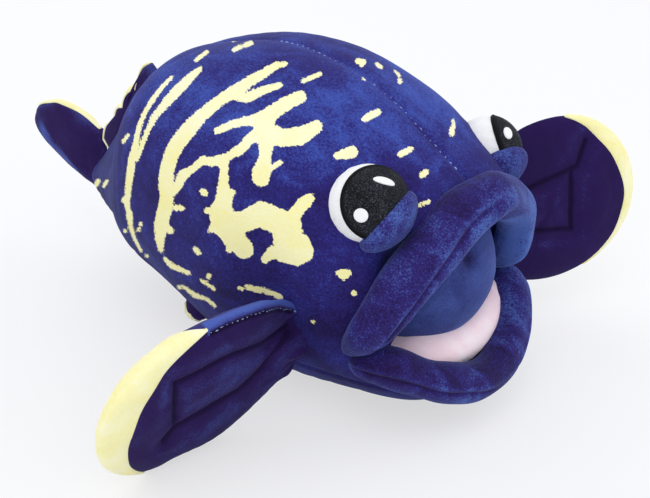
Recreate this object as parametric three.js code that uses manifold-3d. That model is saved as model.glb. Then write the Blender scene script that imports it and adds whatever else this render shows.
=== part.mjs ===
// A stuffed toy fish: a swelling body of sewn pile-fabric panels round a fibre filling,
// a stuffed mouth, domed eyes with padded lower lids, and six stuffed fins sewn on at their roots.
// Millimetres, +Z up. The fish faces -Y and its left side is +X.

import * as THREE from 'three';
import { mergeVertices } from 'three/addons/utils/BufferGeometryUtils.js';
import Module from 'manifold-3d';

const wasm = await Module();
wasm.setup();

// Fabric and sewing
const skin = 2.0;
const gap = 0.3;
const restDepth = 0.5;
const sag = 6;
const weld = 0.01;
const mergeWithin = 1e-4;
const probe = 1e-3;
const hair = 1e-6;
const halvings = 40;

// Body sections from the face to the tail root: height of the back and of the belly, half width
const sections = {
  face: { y: -111, back: 104, belly: 60, half: 26 },
  chin: { y: -107, back: 119, belly: 28, half: 48 },
  jaw: { y: -97, back: 134, belly: 13, half: 62 },
  brow: { y: -77, back: 149, belly: 4, half: 71 },
  nape: { y: -44, back: 171, belly: -sag / 2, half: 79 },
  shoulder: { y: -5, back: 184, belly: -sag, half: 84 },
  crown: { y: 28, back: 188, belly: -sag, half: 82 },
  waist: { y: 61, back: 185, belly: 5, half: 78 },
  rump: { y: 95, back: 178, belly: 15, half: 71 },
  loin: { y: 120, back: 165, belly: 20, half: 63.5 },
  haunch: { y: 146, back: 142, belly: 30, half: 45 },
  stem: { y: 175, back: 109, belly: 38, half: 30 },
  stalk: { y: 203, back: 79, belly: 50, half: 15 },
  stump: { y: 211, back: 73, belly: 54, half: 9 },
};
const widestLevel = 0.46;
const backRoundness = 2.6;
const bellyRoundness = 1.95;
const bodyRings = 24;
const bodySides = 20;
const bellySides = 6;

// Mouth corner: half width of the mouth, distance behind the face, height, and how far apart the two
// lip rolls run there
const mouthCorner = { half: 67, behind: 41, height: 51 };
const cornerSplit = 7;

// Lip rolls from the corner to the middle of the mouth: half width, distance behind the face, height
// and radius of the roll
const upperLipEnd = 6.5;
const upperLipRun = {
  cheek: { half: 69, behind: 24, height: 75.5, radius: 10 },
  side: { half: 53, behind: 13.5, height: 101.5, radius: 12.5 },
  shoulder: { half: 23.5, behind: 8, height: 121.5, radius: 14 },
  middle: { half: 0, behind: 2, height: 131, radius: 12 },
};
const lowerLipEnd = 6;
const lowerLipRun = {
  cheek: { half: 59, behind: 19, height: 49.5, radius: 11 },
  side: { half: 33, behind: 1, height: 34.5, radius: 11.5 },
  middle: { half: 0, behind: -6.5, height: 27, radius: 11.5 },
};
const mouthMiddle = 72;
const lipRings = 20;
const lipSides = 10;

// Pads in the mouth: half sizes, height of the middle, and how far each stands out of the face
const palateHalf = 56;
const palateDepth = 27;
const palateRise = 33;
const palateLevel = 87;
const palateProud = 9;
const tongueHalf = 57;
const tongueDepth = 27;
const tongueRise = 14;
const tongueLevel = 52;
const tongueProud = 11;
const padFacets = { around: 18, down: 12 };

// Eyes: place on the head, ball, fabric iris, light spots and padded lid
const eyeStation = -73;
const eyeAngle = 46;
const eyeRise = 0.7;
const eyeRadius = 19.5;
const eyeYaw = 27;
const eyePitch = 24;
const irisSpread = 64;
const irisThickness = 0.8;
const glintThickness = 0.6;
const barSpread = 17;
const barSqueeze = 0.4;
const dotSpread = 10;
const irisRows = 6;
const irisSides = 24;
const glintRows = 2;
const glintSides = 14;
const lidThickness = 4.6;
const lidLine = 10.5;
const ballFacets = { around: 20, down: 14 };

// Directions from the middle of an eye: to the outside of the head, ahead and up
const lidWay = { out: -0.25, ahead: 0.756, up: -0.605 };
const barWay = { out: 0.17, ahead: 0.58, up: 0.78 };
const barLongWay = { out: -0.66, ahead: 0.7, up: -0.2 };
const dotWay = { out: 0.88, ahead: 0.46, up: 0.12 };

// Fins: outlines, stuffing and borders
const pectoralSpan = 118;
const pectoralHeight = 101;
const pectoralLean = -7.5;
const pectoralRoot = 40;
const pectoralBulge = 11;
const pectoralStation = -47;
const pectoralAngle = -12;
const tailSpan = 74;
const tailHeight = 43;
const tailRoot = 32;
const tailBulge = 7;
const tailRise = 23;
const tailShoulder = 36;
const dorsalFront = 135;
const dorsalTailGap = 4;
const dorsalHeight = 16;
const dorsalTaper = 0.4;
const dorsalBulge = 3.5;
const scallops = 4;
const scallopDepth = 4;
const scallopSteps = 5;
const pelvicSpan = 14;
const pelvicHeight = 20;
const pelvicRoot = 15;
const pelvicBulge = 2.5;
const pelvicStation = 70;
const pelvicAngle = -55;
const borderFront = 8;
const borderBack = 20;
const smallBorder = 4.5;
const rootTuck = 9;
const swellPower = 0.75;
const waddingShares = [0.3, 0.6, 0.85];
const waddingFill = 0.75;
const pectoralFacets = { sides: 28, rings: 4 };
const tailFacets = { sides: 24, rings: 3 };
const dorsalFacets = { sides: 36, rings: 2 };
const pelvicFacets = { sides: 16, rings: 2 };
const flipSteps = 8;

// The stretch of each rim that its border wraps, as shares of the way round from the foot of the root
const pectoralBorder = { from: 0.3, to: 0.75 };
const tailBorder = { from: 0.22, to: 0.54 };
const dorsalBorder = { from: 0.46, to: 0.98 };
const pelvicBorder = { from: 0.25, to: 0.75 };

// A paddle's rounding and its thickest place, as shares of its span and of its half height or lean
const blade = { root: 0.1, swell: 0.26, widest: 0.52, round: 0.82, tip: 0.55, upper: 0.7, lower: 0.42 };
const thickest = { along: 0.5, across: 0.6 };
const dorsalThickest = 0.35;

// Rest pose of the fins and how far each swings about its root seam, in degrees
const pectoralTurn = {
  right: { sweep: -9.5, droop: -5.4, twist: 24.7 },
  left: { sweep: -34.4, droop: -21.7, twist: -5 },
};
const pectoralSwing = {
  right: { from: -35, to: 40 },
  left: { from: -15, to: 60 },
};
const pelvicTurn = {
  right: { sweep: 45, droop: -73.7, twist: -133.8 },
  left: { sweep: -45, droop: 73.7, twist: -133.8 },
};
const pelvicSwing = { from: -20, to: 20 };
const tailSwing = { from: -40, to: 40 };
const dorsalSwing = { from: -35, to: 35 };
const swingSteps = 4;

// Colours of the fabrics
const navy = 0x2b2f7a;
const yellow = 0xf1eca0;
const pink = 0xe9cdd6;
const white = 0xf4f4f0;
const black = 0x151517;
const fibre = 0xe8e6de;

const radians = THREE.MathUtils.degToRad;
const point = (x, y, z) => new THREE.Vector3(x, y, z);

// A geometry from points and triangles, turned so that its faces point out.
function solidFrom(points, triangles) {
  const positions = new Float32Array(points.flatMap((p) => [p.x, p.y, p.z]));
  let volume = 0;
  for (const [a, b, c] of triangles) {
    volume += points[a].dot(point().crossVectors(points[b], points[c]));
  }
  const outward = volume > 0 ? triangles : triangles.map(([a, b, c]) => [a, c, b]);
  const geometry = new THREE.BufferGeometry();
  geometry.setAttribute('position', new THREE.BufferAttribute(positions, 3));
  geometry.setIndex(outward.flat());
  return geometry;
}

// A closed solid through rings of points, with a fan over the first and the last ring.
function loft(rings) {
  const sides = rings[0].length;
  const points = rings.flat();
  const triangles = [];
  for (let i = 0; i < rings.length - 1; i += 1) {
    for (let j = 0; j < sides; j += 1) {
      const k = (j + 1) % sides;
      const a = i * sides;
      const b = a + sides;
      triangles.push([a + j, a + k, b + k], [a + j, b + k, b + j]);
    }
  }
  const middle = (ring) => ring.reduce((sum, p) => sum.add(p), point()).divideScalar(sides);
  const first = points.push(middle(rings[0])) - 1;
  const last = points.push(middle(rings[rings.length - 1])) - 1;
  const lastRing = (rings.length - 1) * sides;
  for (let j = 0; j < sides; j += 1) {
    const k = (j + 1) % sides;
    triangles.push([first, k, j], [last, lastRing + j, lastRing + k]);
  }
  return solidFrom(points, triangles);
}

// A closed plate between an outer and an inner grid of points, joined along its four edges.
function plate(outer, inner) {
  const rows = outer.length;
  const columns = outer[0].length;
  const points = [...outer.flat(), ...inner.flat()];
  const triangles = [];
  const below = rows * columns;
  const quad = (a, b, c, d) => triangles.push([a, b, c], [a, c, d]);
  for (let i = 0; i < rows - 1; i += 1) {
    for (let j = 0; j < columns - 1; j += 1) {
      const a = i * columns + j;
      const b = a + columns;
      quad(a, a + 1, b + 1, b);
      quad(below + a, below + b, below + b + 1, below + a + 1);
    }
  }
  for (let i = 0; i < rows - 1; i += 1) {
    const a = i * columns;
    const b = a + columns;
    quad(a, b, below + b, below + a);
    quad(b - 1, below + b - 1, below + b - 1 + columns, b - 1 + columns);
  }
  const lastRow = (rows - 1) * columns;
  for (let j = 0; j < columns - 1; j += 1) {
    quad(j, below + j, below + j + 1, j + 1);
    quad(lastRow + j, lastRow + j + 1, below + lastRow + j + 1, below + lastRow + j);
  }
  return solidFrom(points, triangles);
}

// Cutting and joining of closed geometries.
function toManifold(geometry) {
  const bare = geometry.clone();
  bare.deleteAttribute('normal');
  bare.deleteAttribute('uv');
  const merged = mergeVertices(bare, mergeWithin);
  return new wasm.Manifold(new wasm.Mesh({
    numProp: 3,
    vertProperties: new Float32Array(merged.attributes.position.array),
    triVerts: new Uint32Array(merged.index.array),
  }));
}

// The cut shape as a geometry, its points welded and its triangles without area left out.
function toGeometry(manifold) {
  const mesh = manifold.getMesh();
  const geometry = new THREE.BufferGeometry();
  geometry.setAttribute('position', new THREE.BufferAttribute(new Float32Array(mesh.vertProperties), 3));
  geometry.setIndex(new THREE.BufferAttribute(new Uint32Array(mesh.triVerts), 1));
  const welded = mergeVertices(geometry, weld);
  const corners = welded.index.array;
  const kept = [];
  for (let i = 0; i < corners.length; i += 3) {
    const [a, b, c] = corners.slice(i, i + 3);
    if (a !== b && b !== c && c !== a) {
      kept.push(a, b, c);
    }
  }
  welded.setIndex(kept);
  return welded;
}

// A geometry with each of the given geometries cut away.
function cut(geometry, ...tools) {
  const left = tools.reduce((rest, tool) => rest.subtract(toManifold(tool)), toManifold(geometry));
  return toGeometry(left);
}

// The part of a geometry that also lies in another.
function common(geometry, other) {
  return toGeometry(toManifold(geometry).intersect(toManifold(other)));
}

// Body surface. The back, belly and side lines run through the sections.
const stations = Object.values(sections);
const line = (key) => new THREE.SplineCurve(stations.map((s) => new THREE.Vector2(s.y, s[key])));
const backLine = line('back');
const bellyLine = line('belly');
const sideLine = line('half');
const bodyMiddle = (sections.face.y + sections.stump.y) / 2;
const bodyHalfLength = (sections.stump.y - sections.face.y) / 2;

// A point of the body at t along it (0 face, 1 tail root) and an angle round it from its left side,
// moved out by an offset. The underside is pressed flat where the stuffed body sags onto its rest.
function bodyPoint(t, angle, offset) {
  const { x: y, y: back } = backLine.getPoint(t);
  const belly = bellyLine.getPoint(t).y;
  const half = sideLine.getPoint(t).y + offset;
  const level = belly + (back - belly) * widestLevel;
  const upper = Math.sin(angle) > 0;
  const power = 2 / (upper ? backRoundness : bellyRoundness);
  const across = Math.sign(Math.cos(angle)) * Math.abs(Math.cos(angle)) ** power;
  const along = Math.sign(Math.sin(angle)) * Math.abs(Math.sin(angle)) ** power;
  const reach = (upper ? back - level : level - belly) + offset;
  const stretch = 1 + offset / bodyHalfLength;
  const z = Math.max(level + reach * along, -restDepth - offset);
  return point(half * across, bodyMiddle + (y - bodyMiddle) * stretch, z);
}

// The place along the body whose section stands at y.
function bodyAt(y) {
  let low = 0;
  let high = 1;
  for (let i = 0; i < halvings; i += 1) {
    const half = (low + high) / 2;
    if (backLine.getPoint(half).x < y) {
      low = half;
    } else {
      high = half;
    }
  }
  return low;
}

// A point on the skin and the outward normal there.
function seat(y, degrees) {
  const t = bodyAt(y);
  const angle = radians(degrees);
  const at = bodyPoint(t, angle, 0);
  const round = bodyPoint(t, angle + probe, 0).sub(bodyPoint(t, angle - probe, 0));
  const along = bodyPoint(t + probe, angle, 0).sub(bodyPoint(t - probe, angle, 0));
  return { at, normal: along.cross(round).normalize() };
}

function bodySolid(offset) {
  const rings = [];
  for (let i = 0; i <= bodyRings; i += 1) {
    const ring = [];
    for (let j = 0; j < bodySides; j += 1) {
      ring.push(bodyPoint(i / bodyRings, (2 * Math.PI * j) / bodySides, offset));
    }
    rings.push(ring);
  }
  return loft(rings);
}

// A skin panel between two seams round the body, half a sewing gap clear of each seam.
function bodyPanel(from, to, steps) {
  const grid = (offset) => {
    const rows = [];
    for (let i = 0; i <= bodyRings; i += 1) {
      const t = i / bodyRings;
      const row = [];
      for (let j = 0; j <= steps; j += 1) {
        const angle = from + ((to - from) * j) / steps;
        const p = bodyPoint(t, angle, offset);
        const round = bodyPoint(t, angle + probe, offset).sub(bodyPoint(t, angle - probe, offset));
        const clear = (gap / 2) * (Number(j === 0) - Number(j === steps));
        row.push(p.addScaledVector(round.normalize(), clear));
      }
      rows.push(row);
    }
    return rows;
  };
  return plate(grid(0), grid(-skin));
}

const grownBody = bodySolid(gap);
const seamStep = (2 * Math.PI) / bodySides;
const flankSides = (bodySides - bellySides) / 2;
const backSeam = Math.PI / 2;
const rightSeam = backSeam + flankSides * seamStep;
const leftSeam = backSeam - flankSides * seamStep;
const floor = new THREE.BoxGeometry(4 * bodyHalfLength, 4 * bodyHalfLength, 2 * bodyHalfLength);
floor.translate(0, 0, -bodyHalfLength);

const rightFlank = bodyPanel(backSeam, rightSeam, flankSides);
const leftFlank = bodyPanel(leftSeam, backSeam, flankSides);
const belly = cut(bodyPanel(rightSeam, leftSeam + 2 * Math.PI, bellySides), floor);
const bodyFill = bodySolid(-skin - gap);

// Rolls of the mouth. Each runs from corner to corner through the nodes of its half and their mirror image.
const faceY = sections.face.y;

function lipNodes(run, end, rise) {
  const corner = { ...mouthCorner, height: mouthCorner.height + rise, radius: end };
  const half = [corner, ...Object.values(run)];
  const right = half.map((node) => ({ ...node, half: -node.half }));
  return [...right, ...half.slice(0, -1).reverse()];
}

function roll(nodes, grow, overAt) {
  const middles = nodes.map((node) => point(node.half, faceY + node.behind, node.height));
  const path = new THREE.CatmullRomCurve3(middles, false, 'catmullrom', 0.5);
  const radii = new THREE.SplineCurve(nodes.map((node, i) => new THREE.Vector2(i, node.radius + grow)));
  const rings = [];
  for (let i = 0; i <= lipRings; i += 1) {
    const t = i / lipRings;
    const thick = radii.getPoint(t).y;
    const middle = path.getPoint(t);
    const over = overAt(middle);
    const side = point().crossVectors(path.getTangent(t), over).normalize();
    const ring = [];
    for (let j = 0; j < lipSides; j += 1) {
      const angle = (2 * Math.PI * j) / lipSides;
      const p = middle.clone().addScaledVector(side, thick * Math.cos(angle));
      ring.push(p.addScaledVector(over, thick * Math.sin(angle)));
    }
    rings.push(ring);
  }
  return loft(rings);
}

const upperNodes = lipNodes(upperLipRun, upperLipEnd, cornerSplit / 2);
const lowerNodes = lipNodes(lowerLipRun, lowerLipEnd, -cornerSplit / 2);
const fromMouth = (p) => point(p.x, 0, p.z - mouthMiddle).normalize();
const upward = () => point(0, 0, 1);
const grownUpper = roll(upperNodes, gap, fromMouth);
const upperLip = cut(roll(upperNodes, 0, fromMouth), grownBody);
const grownLower = roll(lowerNodes, gap, upward);
const lowerLip = cut(roll(lowerNodes, 0, upward), grownBody, grownUpper);

// A stuffed pad with three half sizes.
function pad(half, depth, rise, y, z) {
  const geometry = new THREE.SphereGeometry(1, padFacets.around, padFacets.down);
  geometry.scale(half, depth, rise);
  geometry.translate(0, y, z);
  return geometry;
}

const palateY = faceY + palateDepth - palateProud;
const tongueY = faceY + tongueDepth - tongueProud;
const palateShape = pad(palateHalf, palateDepth, palateRise, palateY, palateLevel);
const grownPalate = pad(palateHalf + gap, palateDepth + gap, palateRise + gap, palateY, palateLevel);
const tongueShape = pad(tongueHalf, tongueDepth, tongueRise, tongueY, tongueLevel);
const palate = cut(palateShape, grownBody, grownUpper, grownLower);
const tongue = cut(tongueShape, grownBody, grownUpper, grownLower, grownPalate);

// Eyes. Each ball sits in the head; the iris, light spots and lid lie on the ball.
function ball(radius, centre) {
  const sphere = new THREE.SphereGeometry(radius, ballFacets.around, ballFacets.down);
  return sphere.translate(...centre.toArray());
}

// A cap on the ball about a direction, between two radii, squeezed across its long way.
function ballCap(centre, { way, longWay, inner, outer, spread, squeeze, rows, sides }) {
  const rings = [];
  const pole = way.clone().normalize();
  const across = point().crossVectors(pole, longWay).normalize();
  const along = point().crossVectors(across, pole);
  const ring = (radius, share) => {
    const points = [];
    for (let j = 0; j < sides; j += 1) {
      const angle = (2 * Math.PI * j) / sides;
      const spoke = along.clone().multiplyScalar(Math.cos(angle));
      spoke.addScaledVector(across, squeeze * Math.sin(angle));
      const tilt = radians(spread) * share * spoke.length();
      const p = spoke.normalize().multiplyScalar(Math.sin(tilt)).addScaledVector(pole, Math.cos(tilt));
      points.push(p.multiplyScalar(radius).add(centre));
    }
    return points;
  };
  for (let i = 1; i <= rows; i += 1) {
    rings.push(ring(outer, i / rows));
  }
  for (let i = rows; i >= 1; i -= 1) {
    rings.push(ring(inner, i / rows));
  }
  return loft(rings);
}

function buildEye(side) {
  const { at, normal } = seat(eyeStation, side > 0 ? eyeAngle : 180 - eyeAngle);
  const centre = at.addScaledVector(normal, eyeRise);
  const yaw = radians(eyeYaw);
  const pitch = radians(eyePitch);
  const level = Math.cos(pitch);
  const gaze = point(side * Math.sin(yaw) * level, -Math.cos(yaw) * level, Math.sin(pitch));
  const turned = ({ out, ahead, up }) => point(side * out, -ahead, up);
  const lidOut = turned(lidWay).normalize();
  const irisInner = eyeRadius + gap;
  const irisOuter = irisInner + irisThickness;
  const glintInner = irisOuter + gap;
  const toolSide = 8 * eyeRadius;
  const lidTool = new THREE.BoxGeometry(toolSide, toolSide, toolSide);
  lidTool.translate(0, 0, toolSide / 2 + lidLine);
  lidTool.applyQuaternion(new THREE.Quaternion().setFromUnitVectors(point(0, 0, 1), lidOut));
  lidTool.translate(...centre.toArray());
  const lidHollow = ball(irisInner, centre);
  const grownLid = common(ball(irisOuter + lidThickness, centre), lidTool);
  const lidEdge = lidOut.clone().multiplyScalar(gap);
  const lidBall = ball(eyeRadius + gap + lidThickness, centre);
  const lidPiece = common(lidBall, lidTool).translate(...lidEdge.toArray());
  const iris = ballCap(centre, {
    way: gaze,
    longWay: point(0, 0, 1),
    inner: irisInner,
    outer: irisOuter,
    spread: irisSpread,
    squeeze: 1,
    rows: irisRows,
    sides: irisSides,
  });
  const glint = (way, longWay, spread, squeeze) => ballCap(centre, {
    way,
    longWay,
    inner: glintInner,
    outer: glintInner + glintThickness,
    spread,
    squeeze,
    rows: glintRows,
    sides: glintSides,
  });
  return {
    eyeball: cut(ball(eyeRadius, centre), grownBody, grownUpper),
    iris: cut(iris, grownLid, grownBody, grownUpper),
    glint_bar: glint(turned(barWay), turned(barLongWay), barSpread, barSqueeze),
    glint_dot: glint(turned(dotWay), point(0, 0, 1), dotSpread, 1),
    lower_lid: cut(lidPiece, lidHollow, grownBody, grownUpper),
  };
}

// Fins. A fin lies in its own plane: X along the span from the root, Z across, -Y out of its front face.
// Its faces are a stuffed pillow that thins to its rim; the border wraps the rim along a stretch of it.
function buildFin({ outline, facets, centre, bulge, from, to, front, back, wadded }) {
  const { sides: finSides, rings: finRings } = facets;
  const rim = outline.getSpacedPoints(finSides).slice(0, finSides);
  const reach = (p) => Math.hypot(p.x - centre.x, p.y - centre.y);
  const along = (j) => (j / finSides - from) / (to - from);
  const inBorder = (j) => along(j) > 0 && along(j) < 1;
  const taper = (j) => Math.sqrt(Math.sin(Math.PI * along(j)));
  const width = (j, most) => (inBorder(j) ? Math.max(most * taper(j), skin + gap) : 0);
  const swell = (share) => gap / 2 + skin + bulge * Math.max(0, 1 - share * share) ** swellPower;
  const place = (j, share, height) => {
    const p = rim[(j + finSides) % finSides];
    const x = centre.x + (p.x - centre.x) * share;
    const z = centre.y + (p.y - centre.y) * share;
    return point(x, -height, z);
  };
  const ringAt = (share, height) => rim.map((p, j) => place(j, share(j), height(share(j))));
  const face = (side, most) => {
    const edge = (j) => 1 - (width(j, most) + (inBorder(j) ? gap : 0)) / reach(rim[j]);
    const rings = [];
    for (let i = 1; i <= finRings; i += 1) {
      rings.push(ringAt((j) => (edge(j) * i) / finRings, (share) => side * swell(share)));
    }
    for (let i = finRings; i >= 1; i -= 1) {
      rings.push(ringAt((j) => (edge(j) * i) / finRings, (share) => side * (swell(share) - skin)));
    }
    return loft(rings);
  };
  const first = Math.ceil(from * finSides + hair);
  const last = Math.floor(to * finSides - hair);
  const outer = [];
  const inner = [];
  for (let j = first; j <= last; j += 1) {
    const whole = reach(rim[j % finSides]);
    const frontEdge = 1 - width(j, front) / whole;
    const backEdge = 1 - width(j, back) / whole;
    const lining = 1 - skin / whole;
    const wrap = (limit, inset) => {
      const onFront = [frontEdge, (limit + frontEdge) / 2, limit];
      const onBack = [limit, (limit + backEdge) / 2, backEdge];
      return [
        ...onFront.map((share) => place(j, share, swell(share) - inset)),
        ...onBack.map((share) => place(j, share, inset - swell(share))),
      ];
    };
    outer.push(wrap(1, 0));
    inner.push(wrap(lining, skin));
  }
  const pieces = {
    front_face: face(1, front),
    back_face: face(-1, back),
    border: plate(outer, inner),
  };
  if (wadded) {
    const layer = (side) => waddingShares.map((share) =>
      ringAt(() => share, (s) => side * (waddingFill * (swell(s) - skin) - gap)));
    pieces.wadding = loft([...layer(1), ...layer(-1).reverse()]);
  }
  return pieces;
}

// Outline of a paddle fin: a straight root, then a round blade.
function paddle(span, height, foot, shoulder, lean) {
  const h = height / 2;
  const rise = shoulder + blade.upper * (lean + h - shoulder);
  const fall = -foot + blade.lower * (lean - h + foot);
  const { root, swell, widest, round, tip } = blade;
  const shape = new THREE.Shape();
  shape.moveTo(-rootTuck, -foot);
  shape.lineTo(-rootTuck, shoulder);
  shape.bezierCurveTo(root * span, rise, swell * span, h + lean, widest * span, h + lean);
  shape.bezierCurveTo(round * span, h + lean, span, tip * h + lean, span, lean);
  shape.bezierCurveTo(span, lean - tip * h, round * span, lean - h, widest * span, lean - h);
  shape.bezierCurveTo(swell * span, lean - h, root * span, fall, -rootTuck, -foot);
  return shape;
}

// Outline of the low scalloped fin on the back: a straight root along Z and round lobes outside it.
function scalloped(length, height) {
  const points = [new THREE.Vector2(-rootTuck, -length / 2), new THREE.Vector2(-rootTuck, length / 2)];
  const steps = scallopSteps * scallops;
  for (let i = 1; i < steps; i += 1) {
    const share = i / steps;
    const lobe = scallopDepth * Math.abs(Math.sin(Math.PI * scallops * share));
    const crest = height - scallopDepth - dorsalTaper * height * share;
    points.push(new THREE.Vector2(crest + lobe, length * (0.5 - share)));
  }
  return new THREE.Shape(points);
}

// The group of a fin, at its seat on the body and turned to its rest pose.
function seatedGroup(at, turn) {
  const group = new THREE.Group();
  group.position.copy(at);
  group.rotation.set(radians(turn.twist), radians(turn.droop), radians(turn.sweep), 'ZYX');
  group.updateMatrix();
  return group;
}

// The root seam's direction, where the fin's plane meets the skin.
function rootSeam(group, normal) {
  const front = point(0, -1, 0).applyQuaternion(group.quaternion);
  const seam = front.cross(normal).normalize();
  return seam.multiplyScalar(Math.sign(seam.z));
}

// The body as a fin sees it while it swings about its root seam, in the fin's own frame.
function swungBodies(group, normal, swing) {
  const axis = rootSeam(group, normal);
  const inward = group.matrix.clone().invert();
  const bodies = [];
  for (let i = 0; i <= swingSteps; i += 1) {
    const angle = -radians(swing.from + ((swing.to - swing.from) * i) / swingSteps);
    const turned = new THREE.Matrix4().makeTranslation(group.position)
      .multiply(new THREE.Matrix4().makeRotationAxis(axis, angle))
      .multiply(new THREE.Matrix4().makeTranslation(group.position.clone().negate()));
    bodies.push(grownBody.clone().applyMatrix4(inward.clone().multiply(turned)));
  }
  return bodies;
}

// Materials and nodes
const fabric = (color) => new THREE.MeshStandardMaterial({ color, roughness: 0.9, metalness: 0 });
const satin = (color) => new THREE.MeshStandardMaterial({ color, roughness: 0.6, metalness: 0 });
const fish = new THREE.Group();

function addPiece(parent, name, geometry, material) {
  const mesh = new THREE.Mesh(geometry, material);
  mesh.name = name;
  parent.add(mesh);
}

addPiece(fish, 'right_flank_panel', rightFlank, fabric(navy));
addPiece(fish, 'left_flank_panel', leftFlank, fabric(navy));
addPiece(fish, 'belly_panel', belly, fabric(navy));
addPiece(fish, 'body_fill', bodyFill, fabric(fibre));
addPiece(fish, 'upper_lip', upperLip, fabric(navy));
addPiece(fish, 'lower_lip', lowerLip, fabric(navy));
addPiece(fish, 'palate_pad', palate, fabric(navy));
addPiece(fish, 'tongue_pad', tongue, fabric(pink));

const eyeFinish = {
  eyeball: white, iris: black, glint_bar: white, glint_dot: white, lower_lid: navy,
};
const sides = { right: -1, left: 1 };
for (const [name, side] of Object.entries(sides)) {
  for (const [piece, geometry] of Object.entries(buildEye(side))) {
    addPiece(fish, `${name}_${piece}`, geometry, satin(eyeFinish[piece]));
  }
}

const finFinish = { front_face: navy, back_face: navy, border: yellow, wadding: fibre };

function addFin(name, options, group, normal, swing) {
  const bodies = swungBodies(group, normal, swing);
  for (const [piece, geometry] of Object.entries(buildFin(options))) {
    addPiece(group, `${name}_${piece}`, cut(geometry, ...bodies), fabric(finFinish[piece]));
  }
  fish.add(group);
}

// A mirror image across the fin's root: the span runs the other way.
function flip(outline) {
  return new THREE.Shape(outline.getPoints(flipSteps).map((p) => new THREE.Vector2(-p.x, p.y)).reverse());
}

// The stretch of the rim that a border wraps, counted the other way round on a mirror image.
function stretch({ from, to }, side) {
  return side > 0 ? { from, to } : { from: 1 - to, to: 1 - from };
}

// Pectoral fins: the right one droops with its front face turned down, the left one is swung forward.
for (const [name, side] of Object.entries(sides)) {
  const outline = paddle(pectoralSpan, pectoralHeight, pectoralRoot / 2, pectoralRoot / 2, pectoralLean);
  const { at, normal } = seat(pectoralStation, side > 0 ? pectoralAngle : 180 - pectoralAngle);
  addFin(`${name}_pectoral`, {
    outline: side > 0 ? outline : flip(outline),
    facets: pectoralFacets,
    centre: new THREE.Vector2(side * thickest.along * pectoralSpan, thickest.across * pectoralLean),
    bulge: pectoralBulge,
    ...stretch(pectoralBorder, side),
    front: borderFront,
    back: borderBack,
    wadded: true,
  }, seatedGroup(at, pectoralTurn[name]), normal, pectoralSwing[name]);
}

// Tail fin: upright, spanning back from the tail root, its left face in front.
const stump = sections.stump;
const tailSeat = point(0, stump.y, (stump.back + stump.belly) / 2);
addFin('tail', {
  outline: paddle(tailSpan, tailHeight, tailRoot / 2, tailShoulder, tailRise),
  facets: tailFacets,
  centre: new THREE.Vector2(thickest.along * tailSpan, thickest.across * tailRise),
  bulge: tailBulge,
  ...tailBorder,
  front: smallBorder,
  back: smallBorder,
  wadded: true,
}, seatedGroup(tailSeat, { sweep: 90, droop: 0, twist: 0 }), point(0, 1, 0), tailSwing);

// Dorsal fin on the back seam above the tail.
const dorsalStart = backLine.getPoint(bodyAt(dorsalFront));
const dorsalRear = stump.y - rootTuck - dorsalTailGap;
const dorsalEnd = backLine.getPoint(bodyAt(dorsalRear));
const dorsalMiddle = dorsalStart.clone().add(dorsalEnd).divideScalar(2);
const dorsalSlope = Math.atan2(dorsalStart.y - dorsalEnd.y, dorsalEnd.x - dorsalStart.x);
const dorsalUp = point(0, Math.sin(dorsalSlope), Math.cos(dorsalSlope));
addFin('dorsal', {
  outline: scalloped(dorsalStart.distanceTo(dorsalEnd), dorsalHeight),
  facets: dorsalFacets,
  centre: new THREE.Vector2(dorsalThickest * dorsalHeight, 0),
  bulge: dorsalBulge,
  ...dorsalBorder,
  front: smallBorder,
  back: smallBorder,
  wadded: false,
}, seatedGroup(point(0, dorsalMiddle.x, dorsalMiddle.y), {
  sweep: 90,
  droop: THREE.MathUtils.radToDeg(dorsalSlope) - 90,
  twist: 0,
}), dorsalUp, dorsalSwing);

// Pelvic fins: small, low on the flanks, pointing out and back.
for (const [name, side] of Object.entries(sides)) {
  const outline = paddle(pelvicSpan, pelvicHeight, pelvicRoot / 2, pelvicRoot / 2, 0);
  const { at, normal } = seat(pelvicStation, side > 0 ? pelvicAngle : 180 - pelvicAngle);
  addFin(`${name}_pelvic`, {
    outline: side > 0 ? outline : flip(outline),
    facets: pelvicFacets,
    centre: new THREE.Vector2(side * thickest.along * pelvicSpan, 0),
    bulge: pelvicBulge,
    ...stretch(pelvicBorder, side),
    front: smallBorder,
    back: smallBorder,
    wadded: false,
  }, seatedGroup(at, pelvicTurn[name]), normal, pelvicSwing);
}

// The origin is under the middle of the whole fish, on the surface that its belly rests on.
const box = new THREE.Box3().setFromObject(fish, true);
fish.position.set(-(box.min.x + box.max.x) / 2, -(box.min.y + box.max.y) / 2, -box.min.z);

export default fish;
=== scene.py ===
"""Looks of a plush grouper: short-pile skin with printed markings, stuffed lips, felt eyes and quilted fins.

Sizes are millimetres in the fish's own frame: it faces -Y, its left side is +X and it rests on Z = 0.
The CAD frame is the same frame moved, and every piece is moved by that amount when its mesh is made.
"""
import logging
import math
from dataclasses import dataclass, field
from enum import Enum, IntEnum

import bpy
import numpy as np
from mathutils import Matrix, Vector

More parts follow.
